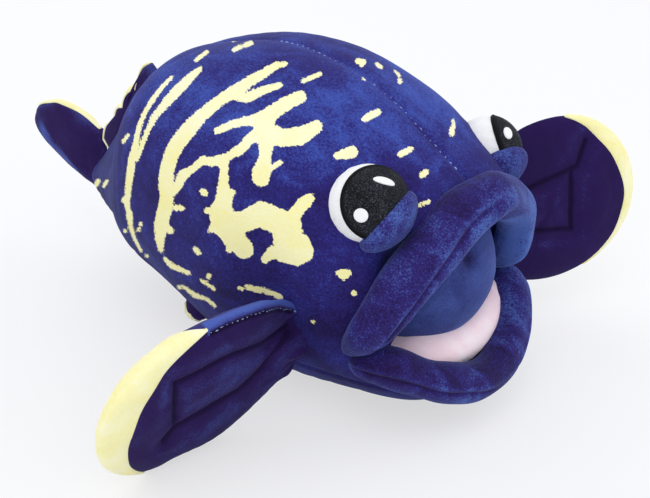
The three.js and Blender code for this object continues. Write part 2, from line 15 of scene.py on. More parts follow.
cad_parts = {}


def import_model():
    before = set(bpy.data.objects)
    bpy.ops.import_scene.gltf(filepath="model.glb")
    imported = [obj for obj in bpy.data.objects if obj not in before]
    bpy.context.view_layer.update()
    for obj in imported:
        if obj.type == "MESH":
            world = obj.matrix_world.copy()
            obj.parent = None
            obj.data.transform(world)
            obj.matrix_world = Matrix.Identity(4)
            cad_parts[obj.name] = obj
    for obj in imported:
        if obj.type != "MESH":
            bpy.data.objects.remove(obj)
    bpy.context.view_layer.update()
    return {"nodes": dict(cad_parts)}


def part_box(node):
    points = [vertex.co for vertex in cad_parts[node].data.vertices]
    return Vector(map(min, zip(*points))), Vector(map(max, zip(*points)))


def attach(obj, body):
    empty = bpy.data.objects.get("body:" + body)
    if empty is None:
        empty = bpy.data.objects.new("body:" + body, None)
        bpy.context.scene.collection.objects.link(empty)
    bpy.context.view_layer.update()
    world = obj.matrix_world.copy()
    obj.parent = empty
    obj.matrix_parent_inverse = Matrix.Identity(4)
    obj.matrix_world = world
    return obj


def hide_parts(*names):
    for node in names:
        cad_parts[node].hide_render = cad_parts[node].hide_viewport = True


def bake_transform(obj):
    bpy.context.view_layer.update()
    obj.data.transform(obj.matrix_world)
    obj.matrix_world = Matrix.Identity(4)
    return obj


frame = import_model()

Array = np.ndarray
Socket = bpy.types.NodeSocket
Tree = bpy.types.NodeTree
Material = bpy.types.Material
Piece = bpy.types.Object
Pair = tuple[float, float]
Triple = tuple[float, float, float]
# Places where a sewn root pulls the skin in: place, reach and depth, mm
Dents = list[tuple[Array, float, float]]
logging.basicConfig(level=logging.INFO, format="%(message)s")
LOG = logging.getLogger("grouper")

MM = 0.001
# Ends of the body: the face, and the stump that carries the tail
FACE_Y = -111.0
STUMP_Y = 211.0
# Size of the photograph, picture points, and of a point on the near flank, mm
IMAGE_SIZE = (650, 498)
POINT = 0.58
# A distance far from everything, mm
FAR = 1e3


class Side(IntEnum):
    """The two sides of the toy; the value is the sign of X there."""

    RIGHT = -1
    LEFT = 1

    @property
    def word(self) -> str:
        """The side as it stands in the names of pieces."""
        return self.name.lower()

    def degrees(self, left: float) -> float:
        """An angle round the body on this side, from the same place's angle on the left side."""
        return left if self is Side.LEFT else 180 - left


# Small helpers for numbers, meshes and nodes


def linear(code: str) -> tuple[float, float, float, float]:
    """Turns an sRGB hex colour into linear light.

    Args:
        code: six hex digits, with or without a leading hash.

    Returns:
        Red, green, blue and alpha for a shader socket.
    """
    digits = code.lstrip("#")
    parts = [int(digits[i : i + 2], 16) / 255 for i in (0, 2, 4)]
    lit = [c / 12.92 if c <= 0.04045 else ((c + 0.055) / 1.055) ** 2.4 for c in parts]
    return (lit[0], lit[1], lit[2], 1.0)


def smooth(low: float, high: float, x: Array) -> Array:
    """Eases from 0 where x is low to 1 where it is high, along a cubic."""
    t = np.clip((x - low) / (high - low), 0, 1)
    return t * t * (3 - 2 * t)


def spline(points: Array, t: Array, stretched: bool = True) -> Array:
    """Runs a uniform Catmull-Rom curve through points.

    Args:
        points: (n, k) points, in order.
        t: places along the curve, 0 to 1.
        stretched: True where the ends run on straight, False where the end points repeat.

    Returns:
        (len(t), k) points on the curve.
    """
    points = np.asarray(points, float)
    before = 2 * points[0] - points[1] if stretched else points[0]
    after = 2 * points[-1] - points[-2] if stretched else points[-1]
    padded = np.vstack([before, points, after])
    place = np.clip(t, 0, 1) * (len(points) - 1)
    i = np.minimum(place.astype(int), len(points) - 2)
    w = (place - i)[:, None]
    a, b, c, d = (padded[i + k] for k in range(4))
    ahead = 3 * b - a - 3 * c + d
    return b + 0.5 * w * (c - a + w * (2 * a - 5 * b + 4 * c - d + w * ahead))


def run_length(path: Array) -> Array:
    """Length of a polyline from its start to each of its points."""
    steps = np.linalg.norm(np.diff(path, axis=0), axis=1)
    return np.concatenate([[0], np.cumsum(steps)])


def read_along(places: Array, run: Array, values: Array) -> Array:
    """Reads the (n, k) values of a line's points at places between them, in the measure of run."""
    return np.stack([np.interp(places, run, column) for column in values.T], -1)


def evenly(curve: Array, count: int, closed: bool = False) -> Array:
    """Spaces points evenly along a polyline.

    Args:
        curve: (n, k) points of the polyline.
        count: how many points to give.
        closed: True where the last point joins the first.

    Returns:
        (count, k) points.
    """
    path = np.vstack([curve, curve[:1]]) if closed else curve
    run = run_length(path)
    return read_along(np.linspace(0, run[-1], count, endpoint=not closed), run, path)


def hill(x: Array, width: float) -> Array:
    """A bell curve: 1 at x = 0, and 1/e one width away."""
    return np.exp(-((x / width) ** 2))


@dataclass(frozen=True)
class Rise:
    """A value that eases in between two places."""

    value: float
    start: float
    full: float

    def at(self, x: Array) -> Array:
        """The value at places x: nothing up to the start, all of it from full on."""
        return self.value * smooth(self.start, self.full, x)


@dataclass(frozen=True)
class Ridge:
    """A value that swells and fades round one place, as a bell curve."""

    value: float
    middle: float
    width: float

    def at(self, x: Array) -> Array:
        """The value at places x."""
        return self.value * hill(x - self.middle, self.width)


def full_turn(count: int) -> Array:
    """Angles evenly spaced over a full turn, radians."""
    return np.arange(count) / count * 2 * np.pi


def turn_between(angle: Array, start: Array) -> Array:
    """Turn from a start to an angle, radians, half a turn at most either way."""
    return np.angle(np.exp(1j * (angle - start)))


def rounded(share: Array, flat: float, rim: float, least: float, power: float = 2.0) -> Array:
    """Height of a cap: 1 over its flat part, then a superellipse down to the least squared height."""
    return np.sqrt(np.clip(1 - ((share - flat) / rim).clip(0, 1) ** power, least, 1))


def unit(vectors: Array) -> Array:
    """Scales (..., 3) vectors to length 1."""
    return vectors / np.maximum(np.linalg.norm(vectors, axis=-1, keepdims=True), 1e-9)


def facing(normals: Array, ways: Array) -> Array:
    """Normals, all turned round where together they point against the ways out of their surface."""
    return normals * np.sign((normals * ways).sum())


def grid_normals(grid: Array) -> Array:
    """Normals of a tube of points that closes round its second axis, pointing out of it.

    Args:
        grid: (rows, columns, 3) points.

    Returns:
        (rows, columns, 3) unit normals.
    """
    along = np.gradient(grid, axis=0)
    round_it = np.roll(grid, -1, axis=1) - np.roll(grid, 1, axis=1)
    return facing(unit(np.cross(along, round_it)), grid - grid.mean(axis=1, keepdims=True))


def with_poles(values: Array, at_poles: float) -> Array:
    """Values of a grid's points in a row, then the same value for the two poles of its tube."""
    return np.append(values.ravel(), [at_poles, at_poles])


class Lumps:
    """Soft unevenness of stuffing: a sum of plane waves with mixed directions and lengths."""

    # Shortest and longest wave, as shares of the middle wavelength
    mix: Pair = (0.6, 1.6)

    def __init__(self, seed: int, wavelength: float, waves: int = 22) -> None:
        """Draws the waves.

        Args:
            seed: start of the random draws.
            wavelength: middle wavelength, mm.
            waves: how many waves are summed.
        """
        random = np.random.default_rng(seed)
        ways = unit(random.normal(size=(waves, 3)))
        lengths = wavelength * random.uniform(*self.mix, size=(waves, 1))
        self.ways = ways * 2 * np.pi / lengths
        self.phases = random.uniform(0, 2 * np.pi, waves)

    def at(self, points: Array) -> Array:
        """Heights of the unevenness at (..., 3) places in mm, mostly within -1 and 1."""
        waves = np.cos(points @ self.ways.T + self.phases)
        return waves.sum(-1) / math.sqrt(2 * len(self.phases))


@dataclass
class Surface:
    """Points and faces of one mesh, in millimetres."""

    points: Array
    quads: Array
    triangles: Array = field(default_factory=lambda: np.zeros((0, 3), int))

    def outward(self) -> "Surface":
        """The same surface with its faces pointing outwards, as the sign of its volume tells."""
        corners = np.vstack([self.quads[:, [0, 1, 2]], self.quads[:, [0, 2, 3]], self.triangles])
        a, b, c = (self.points[corners[:, k]] for k in range(3))
        if np.einsum("ij,ij->i", a, np.cross(b, c)).sum() >= 0:
            return self
        return Surface(self.points, self.quads[:, ::-1], self.triangles[:, ::-1])


def grid_quads(rows: int, columns: int, closed: bool) -> Array:
    """Faces of a grid of points.

    Args:
        rows: points down the grid.
        columns: points across the grid.
        closed: True where the last column joins the first.

    Returns:
        (n, 4) point numbers.
    """
    i, j = np.meshgrid(np.arange(rows - 1), np.arange(columns if closed else columns - 1), indexing="ij")
    k = (j + 1) % columns
    here, below = i * columns, (i + 1) * columns
    return np.stack([here + j, here + k, below + k, below + j], -1).reshape(-1, 4)


def tube(rings: Array) -> Surface:
    """A closed surface through rings, with a pole over the first and the last.

    Args:
        rings: (rows, columns, 3) points.

    Returns:
        The surface, its two poles last among its points.
    """
    rows, columns = rings.shape[:2]
    poles = rings[[0, -1]].mean(axis=1)
    points = np.vstack([rings.reshape(-1, 3), poles])
    j = np.arange(columns)
    k = (j + 1) % columns
    first, last = rows * columns, rows * columns + 1
    end = (rows - 1) * columns
    fan = np.stack([np.full(columns, first), k, j], -1)
    foot = np.stack([np.full(columns, last), end + j, end + k], -1)
    return Surface(points, grid_quads(rows, columns, True), np.vstack([fan, foot])).outward()


def merge(surfaces: list[Surface]) -> Surface:
    """Several surfaces as one, with all their points in one set."""
    starts = np.cumsum([0] + [len(s.points) for s in surfaces[:-1]])
    return Surface(
        np.vstack([s.points for s in surfaces]),
        np.vstack([s.quads + n for s, n in zip(surfaces, starts)]),
        np.vstack([s.triangles + n for s, n in zip(surfaces, starts)]),
    )


def body_shift() -> Array:
    """How far the CAD frame lies from the fish's own, mm: the body filling is centred on both."""
    low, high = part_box("body_fill")
    middle = np.array((low + high) / 2) / MM
    return np.array([middle[0], middle[1] - (FACE_Y + STUMP_Y) / 2, 0.0])


SHIFT = body_shift()


def world(point: Array) -> tuple[float, ...]:
    """A place in the fish's frame as metres in the CAD frame."""
    return tuple(float(c) for c in (np.asarray(point) + SHIFT) * MM)


def bare_mesh(name: str, surface: Surface) -> Piece:
    """Makes a smooth mesh object without a material from a surface.

    Args:
        name: name of the object.
        surface: its points and faces, mm.

    Returns:
        The new object.
    """
    corners = np.concatenate([surface.quads.ravel(), surface.triangles.ravel()]).astype(np.int32)
    sizes = np.concatenate([np.full(len(surface.quads), 4), np.full(len(surface.triangles), 3)])
    starts = np.concatenate([[0], np.cumsum(sizes)[:-1]]).astype(np.int32)
    mesh = bpy.data.meshes.new(name)
    mesh.vertices.add(len(surface.points))
    mesh.vertices.foreach_set("co", ((surface.points + SHIFT) * MM).astype(np.float32).ravel())
    mesh.loops.add(len(corners))
    mesh.loops.foreach_set("vertex_index", corners)
    mesh.polygons.add(len(sizes))
    mesh.polygons.foreach_set("loop_start", starts)
    mesh.update(calc_edges=True)
    mesh.polygons.foreach_set("use_smooth", np.ones(len(sizes), bool))
    piece = bpy.data.objects.new(name, mesh)
    bpy.context.scene.collection.objects.link(piece)
    return piece


def add_mesh(
    name: str, surface: Surface, material: Material, values: dict[str, Array] | None = None
) -> Piece:
    """Makes a piece from a surface.

    Args:
        name: name of the piece.
        surface: its points and faces, mm.
        material: what it is made of.
        values: one number per point for each named attribute that the material reads.

    Returns:
        The new piece.
    """
    piece = bare_mesh(name, surface)
    mesh = piece.data
    for key, numbers in (values or {}).items():
        attribute = mesh.attributes.new(key, "FLOAT", "POINT")
        attribute.data.foreach_set("value", numbers.astype(np.float32))
    mesh.validate()
    mesh.materials.append(material)
    LOG.info("%s: %d points, %d faces", name, len(mesh.vertices), len(mesh.polygons))
    return piece


def blurred(values: Array, passes: int) -> Array:
    """Evens out the values of a tube of points.

    Args:
        values: (rows, columns, k) values; the columns close.
        passes: how often each value takes half of itself and a quarter of its neighbours.

    Returns:
        The evened values.
    """
    for _ in range(passes):
        values = (np.roll(values, 1, axis=1) + 2 * values + np.roll(values, -1, axis=1)) / 4
        ends = np.concatenate([values[:1], values, values[-1:]])
        values = (ends[:-2] + 2 * values + ends[2:]) / 4
    return values


@dataclass(frozen=True)
class Stuffing:
    """Swells a sewn cover by a cloth simulation: pressure lifts the fabric between what holds it."""

    # How far a point may move, mm, and the share of it by which the cover starts smaller
    most: float
    # Pressure of the stuffing, higher for a narrow roll than for a wide panel
    pressure: float
    slack: float = 0.25
    frames: int = 20
    # Weight of a point and stiffness of stretch fabric, for points about 5 mm apart
    mass: float = 0.01
    stretch: float = 1.0
    shear: float = 0.5
    bending: float = 0.05
    # The simulation takes every so many rows and columns of the cover
    step: int = 4

    def simulate(self, start: Surface, held: Array) -> Array:
        """Runs the cloth.

        Args:
            start: the cover, mm.
            held: True for each point that does not move.

        Returns:
            (n, 3) moves of its points, mm.
        """
        piece = bare_mesh("cover", start)
        piece.vertex_groups.new(name="held").add(np.flatnonzero(held).tolist(), 1.0, "REPLACE")
        cloth = piece.modifiers.new("stuffing", "CLOTH")
        cloth.settings.use_pressure = True
        cloth.settings.uniform_pressure_force = self.pressure
        cloth.settings.mass = self.mass
        cloth.settings.tension_stiffness = self.stretch
        cloth.settings.compression_stiffness = self.stretch
        cloth.settings.shear_stiffness = self.shear
        cloth.settings.bending_stiffness = self.bending
        cloth.settings.vertex_group_mass = "held"
        cloth.settings.effector_weights.gravity = 0.0
        cloth.point_cache.frame_end = self.frames
        scene = bpy.context.scene
        for number in range(1, self.frames + 1):
            scene.frame_set(number)
        swollen = piece.evaluated_get(bpy.context.evaluated_depsgraph_get()).data
        moved = np.empty(3 * len(start.points), np.float32)
        swollen.vertices.foreach_get("co", moved)
        scene.frame_set(1)
        bpy.data.meshes.remove(piece.data)
        return moved.reshape(-1, 3) / MM - SHIFT - start.points

    def swell(self, grid: Array, held: Array) -> Array:
        """Swells a cover; the moves of the thinned points are spread back over all its points.

        Args:
            grid: (rows, columns, 3) points of a tube, mm; its columns are a multiple of the step.
            held: (rows, columns) True where a seam or a neighbour holds the fabric.

        Returns:
            The points after the simulation.
        """
        free = blurred((~held).astype(float)[..., None], self.step)
        grid = grid - self.slack * self.most * free * grid_normals(grid)
        rows = np.append(np.arange(0, len(grid) - 1, self.step), len(grid) - 1)
        picked = np.ix_(rows, np.arange(0, grid.shape[1], self.step))
        move = self.simulate(tube(grid[picked]), with_poles(held[picked], True))
        size = np.linalg.norm(move, axis=1, keepdims=True)
        LOG.info("stuffing moves its cover by %.1f mm, %.1f mm at most", size.mean(), size.max())
        move *= np.minimum(1, self.most / np.maximum(size, 1e-6))
        move = move[:-2].reshape(len(rows), -1, 3)
        place = np.interp(np.arange(len(grid)), rows, np.arange(len(rows)))
        i = np.minimum(place.astype(int), len(rows) - 2)
        share = (place - i)[:, None, None]
        move = move[i] * (1 - share) + move[i + 1] * share
        j, rest = np.divmod(np.arange(grid.shape[1]), self.step)
        share = (rest / self.step)[None, :, None]
        move = move[:, j] * (1 - share) + move[:, (j + 1) % move.shape[1]] * share
        return grid + blurred(move, self.step) * free


def add_node(tree: Tree, kind: str, inputs: dict | None = None, **settings: object) -> bpy.types.Node:
    """Adds one shader node.

    Args:
        tree: node tree of the material.
        kind: Blender's name for the node.
        inputs: values or sockets for its inputs, by name or number.
        settings: properties of the node.

    Returns:
        The new node.
    """
    node = tree.nodes.new(kind)
    for key, value in settings.items():
        setattr(node, key, value)
    for key, value in (inputs or {}).items():
        if isinstance(value, Socket):
            tree.links.new(value, node.inputs[key])
        else:
            node.inputs[key].default_value = value
    return node


# The viewing angle of the photograph


@dataclass(frozen=True)
class Viewpoint:
    """Camera place, worked out from the photograph."""

    azimuth: float = -50.0
    elevation: float = 26.0
    distance: float = 600.0
    target: Triple = (0.0, 0.0, 66.0)
    # Focal length in picture points, and width of the sensor, mm
    focal_pixels: float = 1000.0
    sensor: float = 36.0
    # Nearest and farthest distance that it sees, metres
    clip: Pair = (0.01, 50.0)

    def axes(self) -> tuple[Array, Array, Array]:
        """Unit vectors to the right, up and back towards the camera."""
        a, e = math.radians(self.azimuth), math.radians(self.elevation)
        back = np.array([math.sin(a) * math.cos(e), -math.cos(a) * math.cos(e), math.sin(e)])
        right = np.array([math.cos(a), math.sin(a), 0.0])
        return right, np.cross(back, right), back

    def place(self) -> Array:
        """Where the camera stands, mm."""
        return np.array(self.target) + self.distance * self.axes()[2]

    def pixels(self, points: Array) -> Array:
        """Where points fall in the picture.

        Args:
            points: (..., 3) places, mm.

        Returns:
            (..., 2) picture coordinates from the top left corner.
        """
        right, up, back = self.axes()
        away = points - self.place()
        depth = -(away @ back)
        across = IMAGE_SIZE[0] / 2 + self.focal_pixels * (away @ right) / depth
        down = IMAGE_SIZE[1] / 2 - self.focal_pixels * (away @ up) / depth
        return np.stack([across, down], -1)

    def sees(self, points: Array, normals: Array) -> Array:
        """True where a surface with these points and outward normals faces the camera."""
        return ((self.place() - points) * normals).sum(-1) > 0

    def build(self) -> None:
        """Makes the camera."""
        data = bpy.data.cameras.new("camera")
        data.sensor_width = self.sensor
        data.lens = self.focal_pixels / IMAGE_SIZE[0] * self.sensor
        data.clip_start, data.clip_end = self.clip
        camera = bpy.data.objects.new("camera", data)
        bpy.context.scene.collection.objects.link(camera)
        right, up, back = (Vector(v) for v in self.axes())
        turn = Matrix((right, up, back)).transposed().to_4x4()
        camera.matrix_world = Matrix.Translation(world(self.place())) @ turn
        bpy.context.scene.camera = camera


VIEW = Viewpoint()
# Distance past which a stroke no longer melts into another
MELT_REACH = 60.0


def stroke_depth(places: Array, strokes: list[list[Triple]], soft: float) -> Array:
    """How deep places lie inside round-ended strokes.

    The distance to a stroke is the distance to its nearest segment less the half width there, and the
    strokes melt into each other by a smooth minimum.

    Args:
        places: (n, 2) places.
        strokes: each a list of (across, down, half width).
        soft: width over which strokes melt together.

    Returns:
        (n,) depths, positive inside.
    """
    total = np.zeros(len(places))
    for stroke in strokes:
        nodes = np.array(stroke if len(stroke) > 1 else stroke * 2, float)
        best = np.full(len(places), FAR)
        for (ax, ay, ar), (bx, by, br) in zip(nodes[:-1], nodes[1:]):
            way = np.array([bx - ax, by - ay])
            from_a = places - (ax, ay)
            share = np.clip(from_a @ way / max(way @ way, 1e-9), 0, 1)
            distance = np.hypot(*(from_a - share[:, None] * way).T) - (ar + (br - ar) * share)
            best = np.minimum(best, distance)
        total += np.exp(-np.clip(best, -MELT_REACH, MELT_REACH) / soft)
    return soft * np.log(np.maximum(total, 1e-20))


# Materials


class Slot(Enum):
    """Material slots of the record."""

    NAVY = "navy_pile"
    YELLOW = "yellow_pile"
    PINK = "pink_lining"
    WHITE = "white_felt"
    BLACK = "black_satin"


@dataclass(frozen=True)
class Pile:
    """Short-pile fabric: a grain of fibre tips over soft brush marks, and a sheen at its edges."""

    name: str
    dark: str
    middle: str
    light: str
    sheen: str
    sheen_weight: float = 0.5
    # Size of the clumps of fibre tips, mm, drawn coarser than single fibres so that they show
    grain: float = 1.1
    # Size of the brush marks, mm
    brush: float = 16.0
    # How far grain and brush marks move the shade either way
    grain_share: float = 0.35
    brush_share: float = 0.5
    # Height of the grain, mm
    relief: float = 0.5
    # Dark and light colour of a print, or None on plain fabric
    printed: tuple[str, str] | None = None
    # How far the pile pulls a print's edge about, size of a pull, half the edge's width, mm
    ragged: float = 3.2
    fray: float = 0.9
    print_edge: float = 0.22
    # Scales of pile and print across, along and up: both are combed along the fish
    combed: Triple = (1.0, 0.55, 0.8)
    print_combed: Triple = (1.0, 0.45, 0.8)
    # Shade of even pile, and the span of the noise that goes from dark to light
    even_shade: float = 0.42
    noise_span: Pair = (0.3, 0.7)
    noise_roughness: float = 0.6
    grain_detail: float = 3.0
    brush_detail: float = 4.0
    brush_curl: float = 0.6
    # Matt fibre with little gloss
    roughness: float = 0.85
    gloss: float = 0.15
    sheen_roughness: float = 0.4
    bump: float = 0.55

    def shade(self, tree: Tree, coordinates: Socket) -> tuple[Socket, Socket]:
        """Light and dark of the pile from its grain and brush marks, and the painted light and shade that
        each point carries.

        Args:
            tree: node tree of the material.
            coordinates: object coordinates, metres.

        Returns:
            Sockets of the shade, 0 dark to 1 light, and of the grain.
        """
        low, high = self.noise_span
        laid = add_node(tree, "ShaderNodeMapping", {"Vector": coordinates, "Scale": self.combed})
        grain = add_node(tree, "ShaderNodeTexNoise", {
            "Vector": laid.outputs["Vector"], "Scale": 1 / (self.grain * MM),
            "Detail": self.grain_detail, "Roughness": self.noise_roughness})
        brush = add_node(tree, "ShaderNodeTexNoise", {
            "Vector": laid.outputs["Vector"], "Scale": 1 / (self.brush * MM),
            "Detail": self.brush_detail, "Roughness": self.noise_roughness, "Distortion": self.brush_curl})
        # Per-point attribute: painted light and shade, and the fabric's own tone
        painted_light_and_tone = add_node(tree, "ShaderNodeAttribute", attribute_name="painted_light_and_tone")
        fine = add_node(tree, "ShaderNodeMapRange", {
            "Value": grain.outputs["Fac"], "From Min": low, "From Max": high,
            "To Min": -self.grain_share, "To Max": self.grain_share}, clamp=False)
        broad = add_node(tree, "ShaderNodeMapRange", {
            "Value": brush.outputs["Fac"], "From Min": low, "From Max": high,
            "To Min": self.even_shade - self.brush_share,
            "To Max": self.even_shade + self.brush_share}, clamp=False)
        mixed = add_node(tree, "ShaderNodeMath", {0: fine.outputs[0], 1: broad.outputs[0]}, operation="ADD")
        shade = add_node(tree, "ShaderNodeMath", {0: mixed.outputs[0], 1: painted_light_and_tone.outputs["Fac"]},
                         operation="ADD", use_clamp=True)
        return shade.outputs[0], grain.outputs["Fac"]

    @staticmethod
    def ramp(tree: Tree, shade: Socket, colours: tuple[str, ...]) -> Socket:
        """Colours a shade.

        Args:
            tree: node tree of the material.
            shade: 0 dark to 1 light.
            colours: hex colours from dark to light, evenly spread.

        Returns:
            Socket of the colour.
        """
        node = add_node(tree, "ShaderNodeValToRGB", {"Fac": shade})
        steps = node.color_ramp.elements
        while len(steps) < len(colours):
            steps.new(0.5)
        for number, (step, colour) in enumerate(zip(steps, colours)):
            step.position = number / (len(colours) - 1)
            step.color = linear(colour)
        return node.outputs["Color"]

    def print_mask(self, tree: Tree, coordinates: Socket) -> Socket:
        """Where the print lies: its depth in mm, made ragged by the pile that it lies on.

        Args:
            tree: node tree of the material.
            coordinates: object coordinates, metres.

        Returns:
            Socket that is 1 on the print.
        """
        depth = add_node(tree, "ShaderNodeAttribute", attribute_name="marking")
        laid = add_node(tree, "ShaderNodeMapping", {"Vector": coordinates, "Scale": self.print_combed})
        fray = add_node(tree, "ShaderNodeTexNoise", {
            "Vector": laid.outputs["Vector"], "Scale": 1 / (self.fray * MM),
            "Detail": self.grain_detail, "Roughness": self.noise_roughness})
        pulled = add_node(tree, "ShaderNodeMath", {
            0: fray.outputs["Fac"], 1: self.ragged, 2: depth.outputs["Fac"]}, operation="MULTIPLY_ADD")
        middle = 0.5 * self.ragged
        mask = add_node(tree, "ShaderNodeMapRange", {
            "Value": pulled.outputs[0], "From Min": middle - self.print_edge,
            "From Max": middle + self.print_edge}, interpolation_type="SMOOTHSTEP")
        return mask.outputs[0]

    def build(self) -> Material:
        """Makes the material."""
        material = bpy.data.materials.new(self.name)
        material.use_nodes = True
        tree = material.node_tree
        tree.nodes.clear()
        coordinates = add_node(tree, "ShaderNodeTexCoord").outputs["Object"]
        shade, grain = self.shade(tree, coordinates)
        colour = self.ramp(tree, shade, (self.dark, self.middle, self.light))
        if self.printed:
            ink = self.ramp(tree, shade, self.printed)
            mask = self.print_mask(tree, coordinates)
            colour = add_node(tree, "ShaderNodeMix", {"Factor": mask, 6: colour, 7: ink},
                              data_type="RGBA").outputs[2]
        bump = add_node(tree, "ShaderNodeBump", {
            "Strength": self.bump, "Distance": self.relief * MM, "Height": grain})
        shader = add_node(tree, "ShaderNodeBsdfPrincipled", {
            "Base Color": colour, "Roughness": self.roughness, "Specular IOR Level": self.gloss,
            "Sheen Weight": self.sheen_weight, "Sheen Roughness": self.sheen_roughness,
            "Sheen Tint": linear(self.sheen), "Normal": bump.outputs["Normal"]})
        add_node(tree, "ShaderNodeOutputMaterial", {"Surface": shader.outputs["BSDF"]})
        return material


class Fabrics:
    """The toy's fabrics, named for what they are."""

    def __init__(self) -> None:
        """Makes each fabric once."""
        # Navy minky: deep indigo in the pile, blue where fibre tips catch light, printed yellow markings.
        self.skin = Pile("navy_minky_printed", "#1f1148", "#2b2674", "#3f54ac", "#8fa6e0",
                         sheen_weight=0.22, grain=0.8, grain_share=0.28, brush_share=0.26,
                         printed=("#fbf3a0", "#fffcd8")).build()
        # Navy minky without a print, for lips and lids: a longer pile with stronger brush marks.
        self.plush = Pile("navy_minky_long_pile", "#20103f", "#2f246f", "#4b65ac", "#8fa6e0",
                          sheen_weight=0.35, grain=0.7, brush=13.0, grain_share=0.36, brush_share=0.32,
                          relief=0.7).build()
        # Navy velour of the roof of the mouth, the smoothest and most even of the blues.
        self.velour = Pile("navy_velour", "#211647", "#35407f", "#4a5fa3", "#8fa6e0",
                           sheen_weight=0.3, grain=0.7, brush=22.0, grain_share=0.16, brush_share=0.22,
                           relief=0.25).build()
        # Brushed navy knit, darker and flatter, for the fins.
        self.knit = Pile("navy_brushed_knit", "#1b0a38", "#281450", "#4a5eae", "#8298d4",
                         sheen_weight=0.12, grain=0.7, brush=26.0, grain_share=0.11, brush_share=0.12,
                         relief=0.35).build()
        # Pale yellow minky of the fin borders.
        self.yellow = Pile("yellow_minky", "#faf2a8", "#fdf8c0", "#fffbd8", "#fffbe6",
                           sheen_weight=0.25, grain_share=0.25, relief=0.35).build()
        # Smooth pale pink lining of the tongue.
        self.pink = Pile("pink_velour", "#f8d6de", "#fde1e7", "#ffeff2", "#fff0f4",
                         sheen_weight=0.2, grain=0.8, brush=30.0, grain_share=0.15, relief=0.2).build()
        # White felt of the eyeballs and light spots.
        self.white = Pile("white_felt", "#ececea", "#f6f6f4", "#fbfbfa", "#ffffff",
                          sheen_weight=0.1, grain=0.9, grain_share=0.2, brush_share=0.2, relief=0.3).build()
        # Black embroidered satin of the irises, with grey flecks where threads shine.
        self.black = Pile("black_satin_stitch", "#0c0c0f", "#1b1c21", "#565a63", "#8c919c",
                          sheen_weight=0.1, grain=0.5, brush=10.0, grain_share=0.5, brush_share=0.15,
                          relief=0.35).build()
        # Pale blue sewing thread.
        self.thread = Pile("pale_blue_thread", "#6f86c4", "#93a8dc", "#c3d1f2", "#ffffff",
                           sheen_weight=0.2, grain=0.5, relief=0.1).build()


def dress(nodes: tuple[str, ...] = ()) -> None:
    """Hides the CAD nodes that a piece stands for.

    Args:
        nodes: CAD nodes that it replaces.
    """
    if nodes:
        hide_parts(*nodes)


# Body


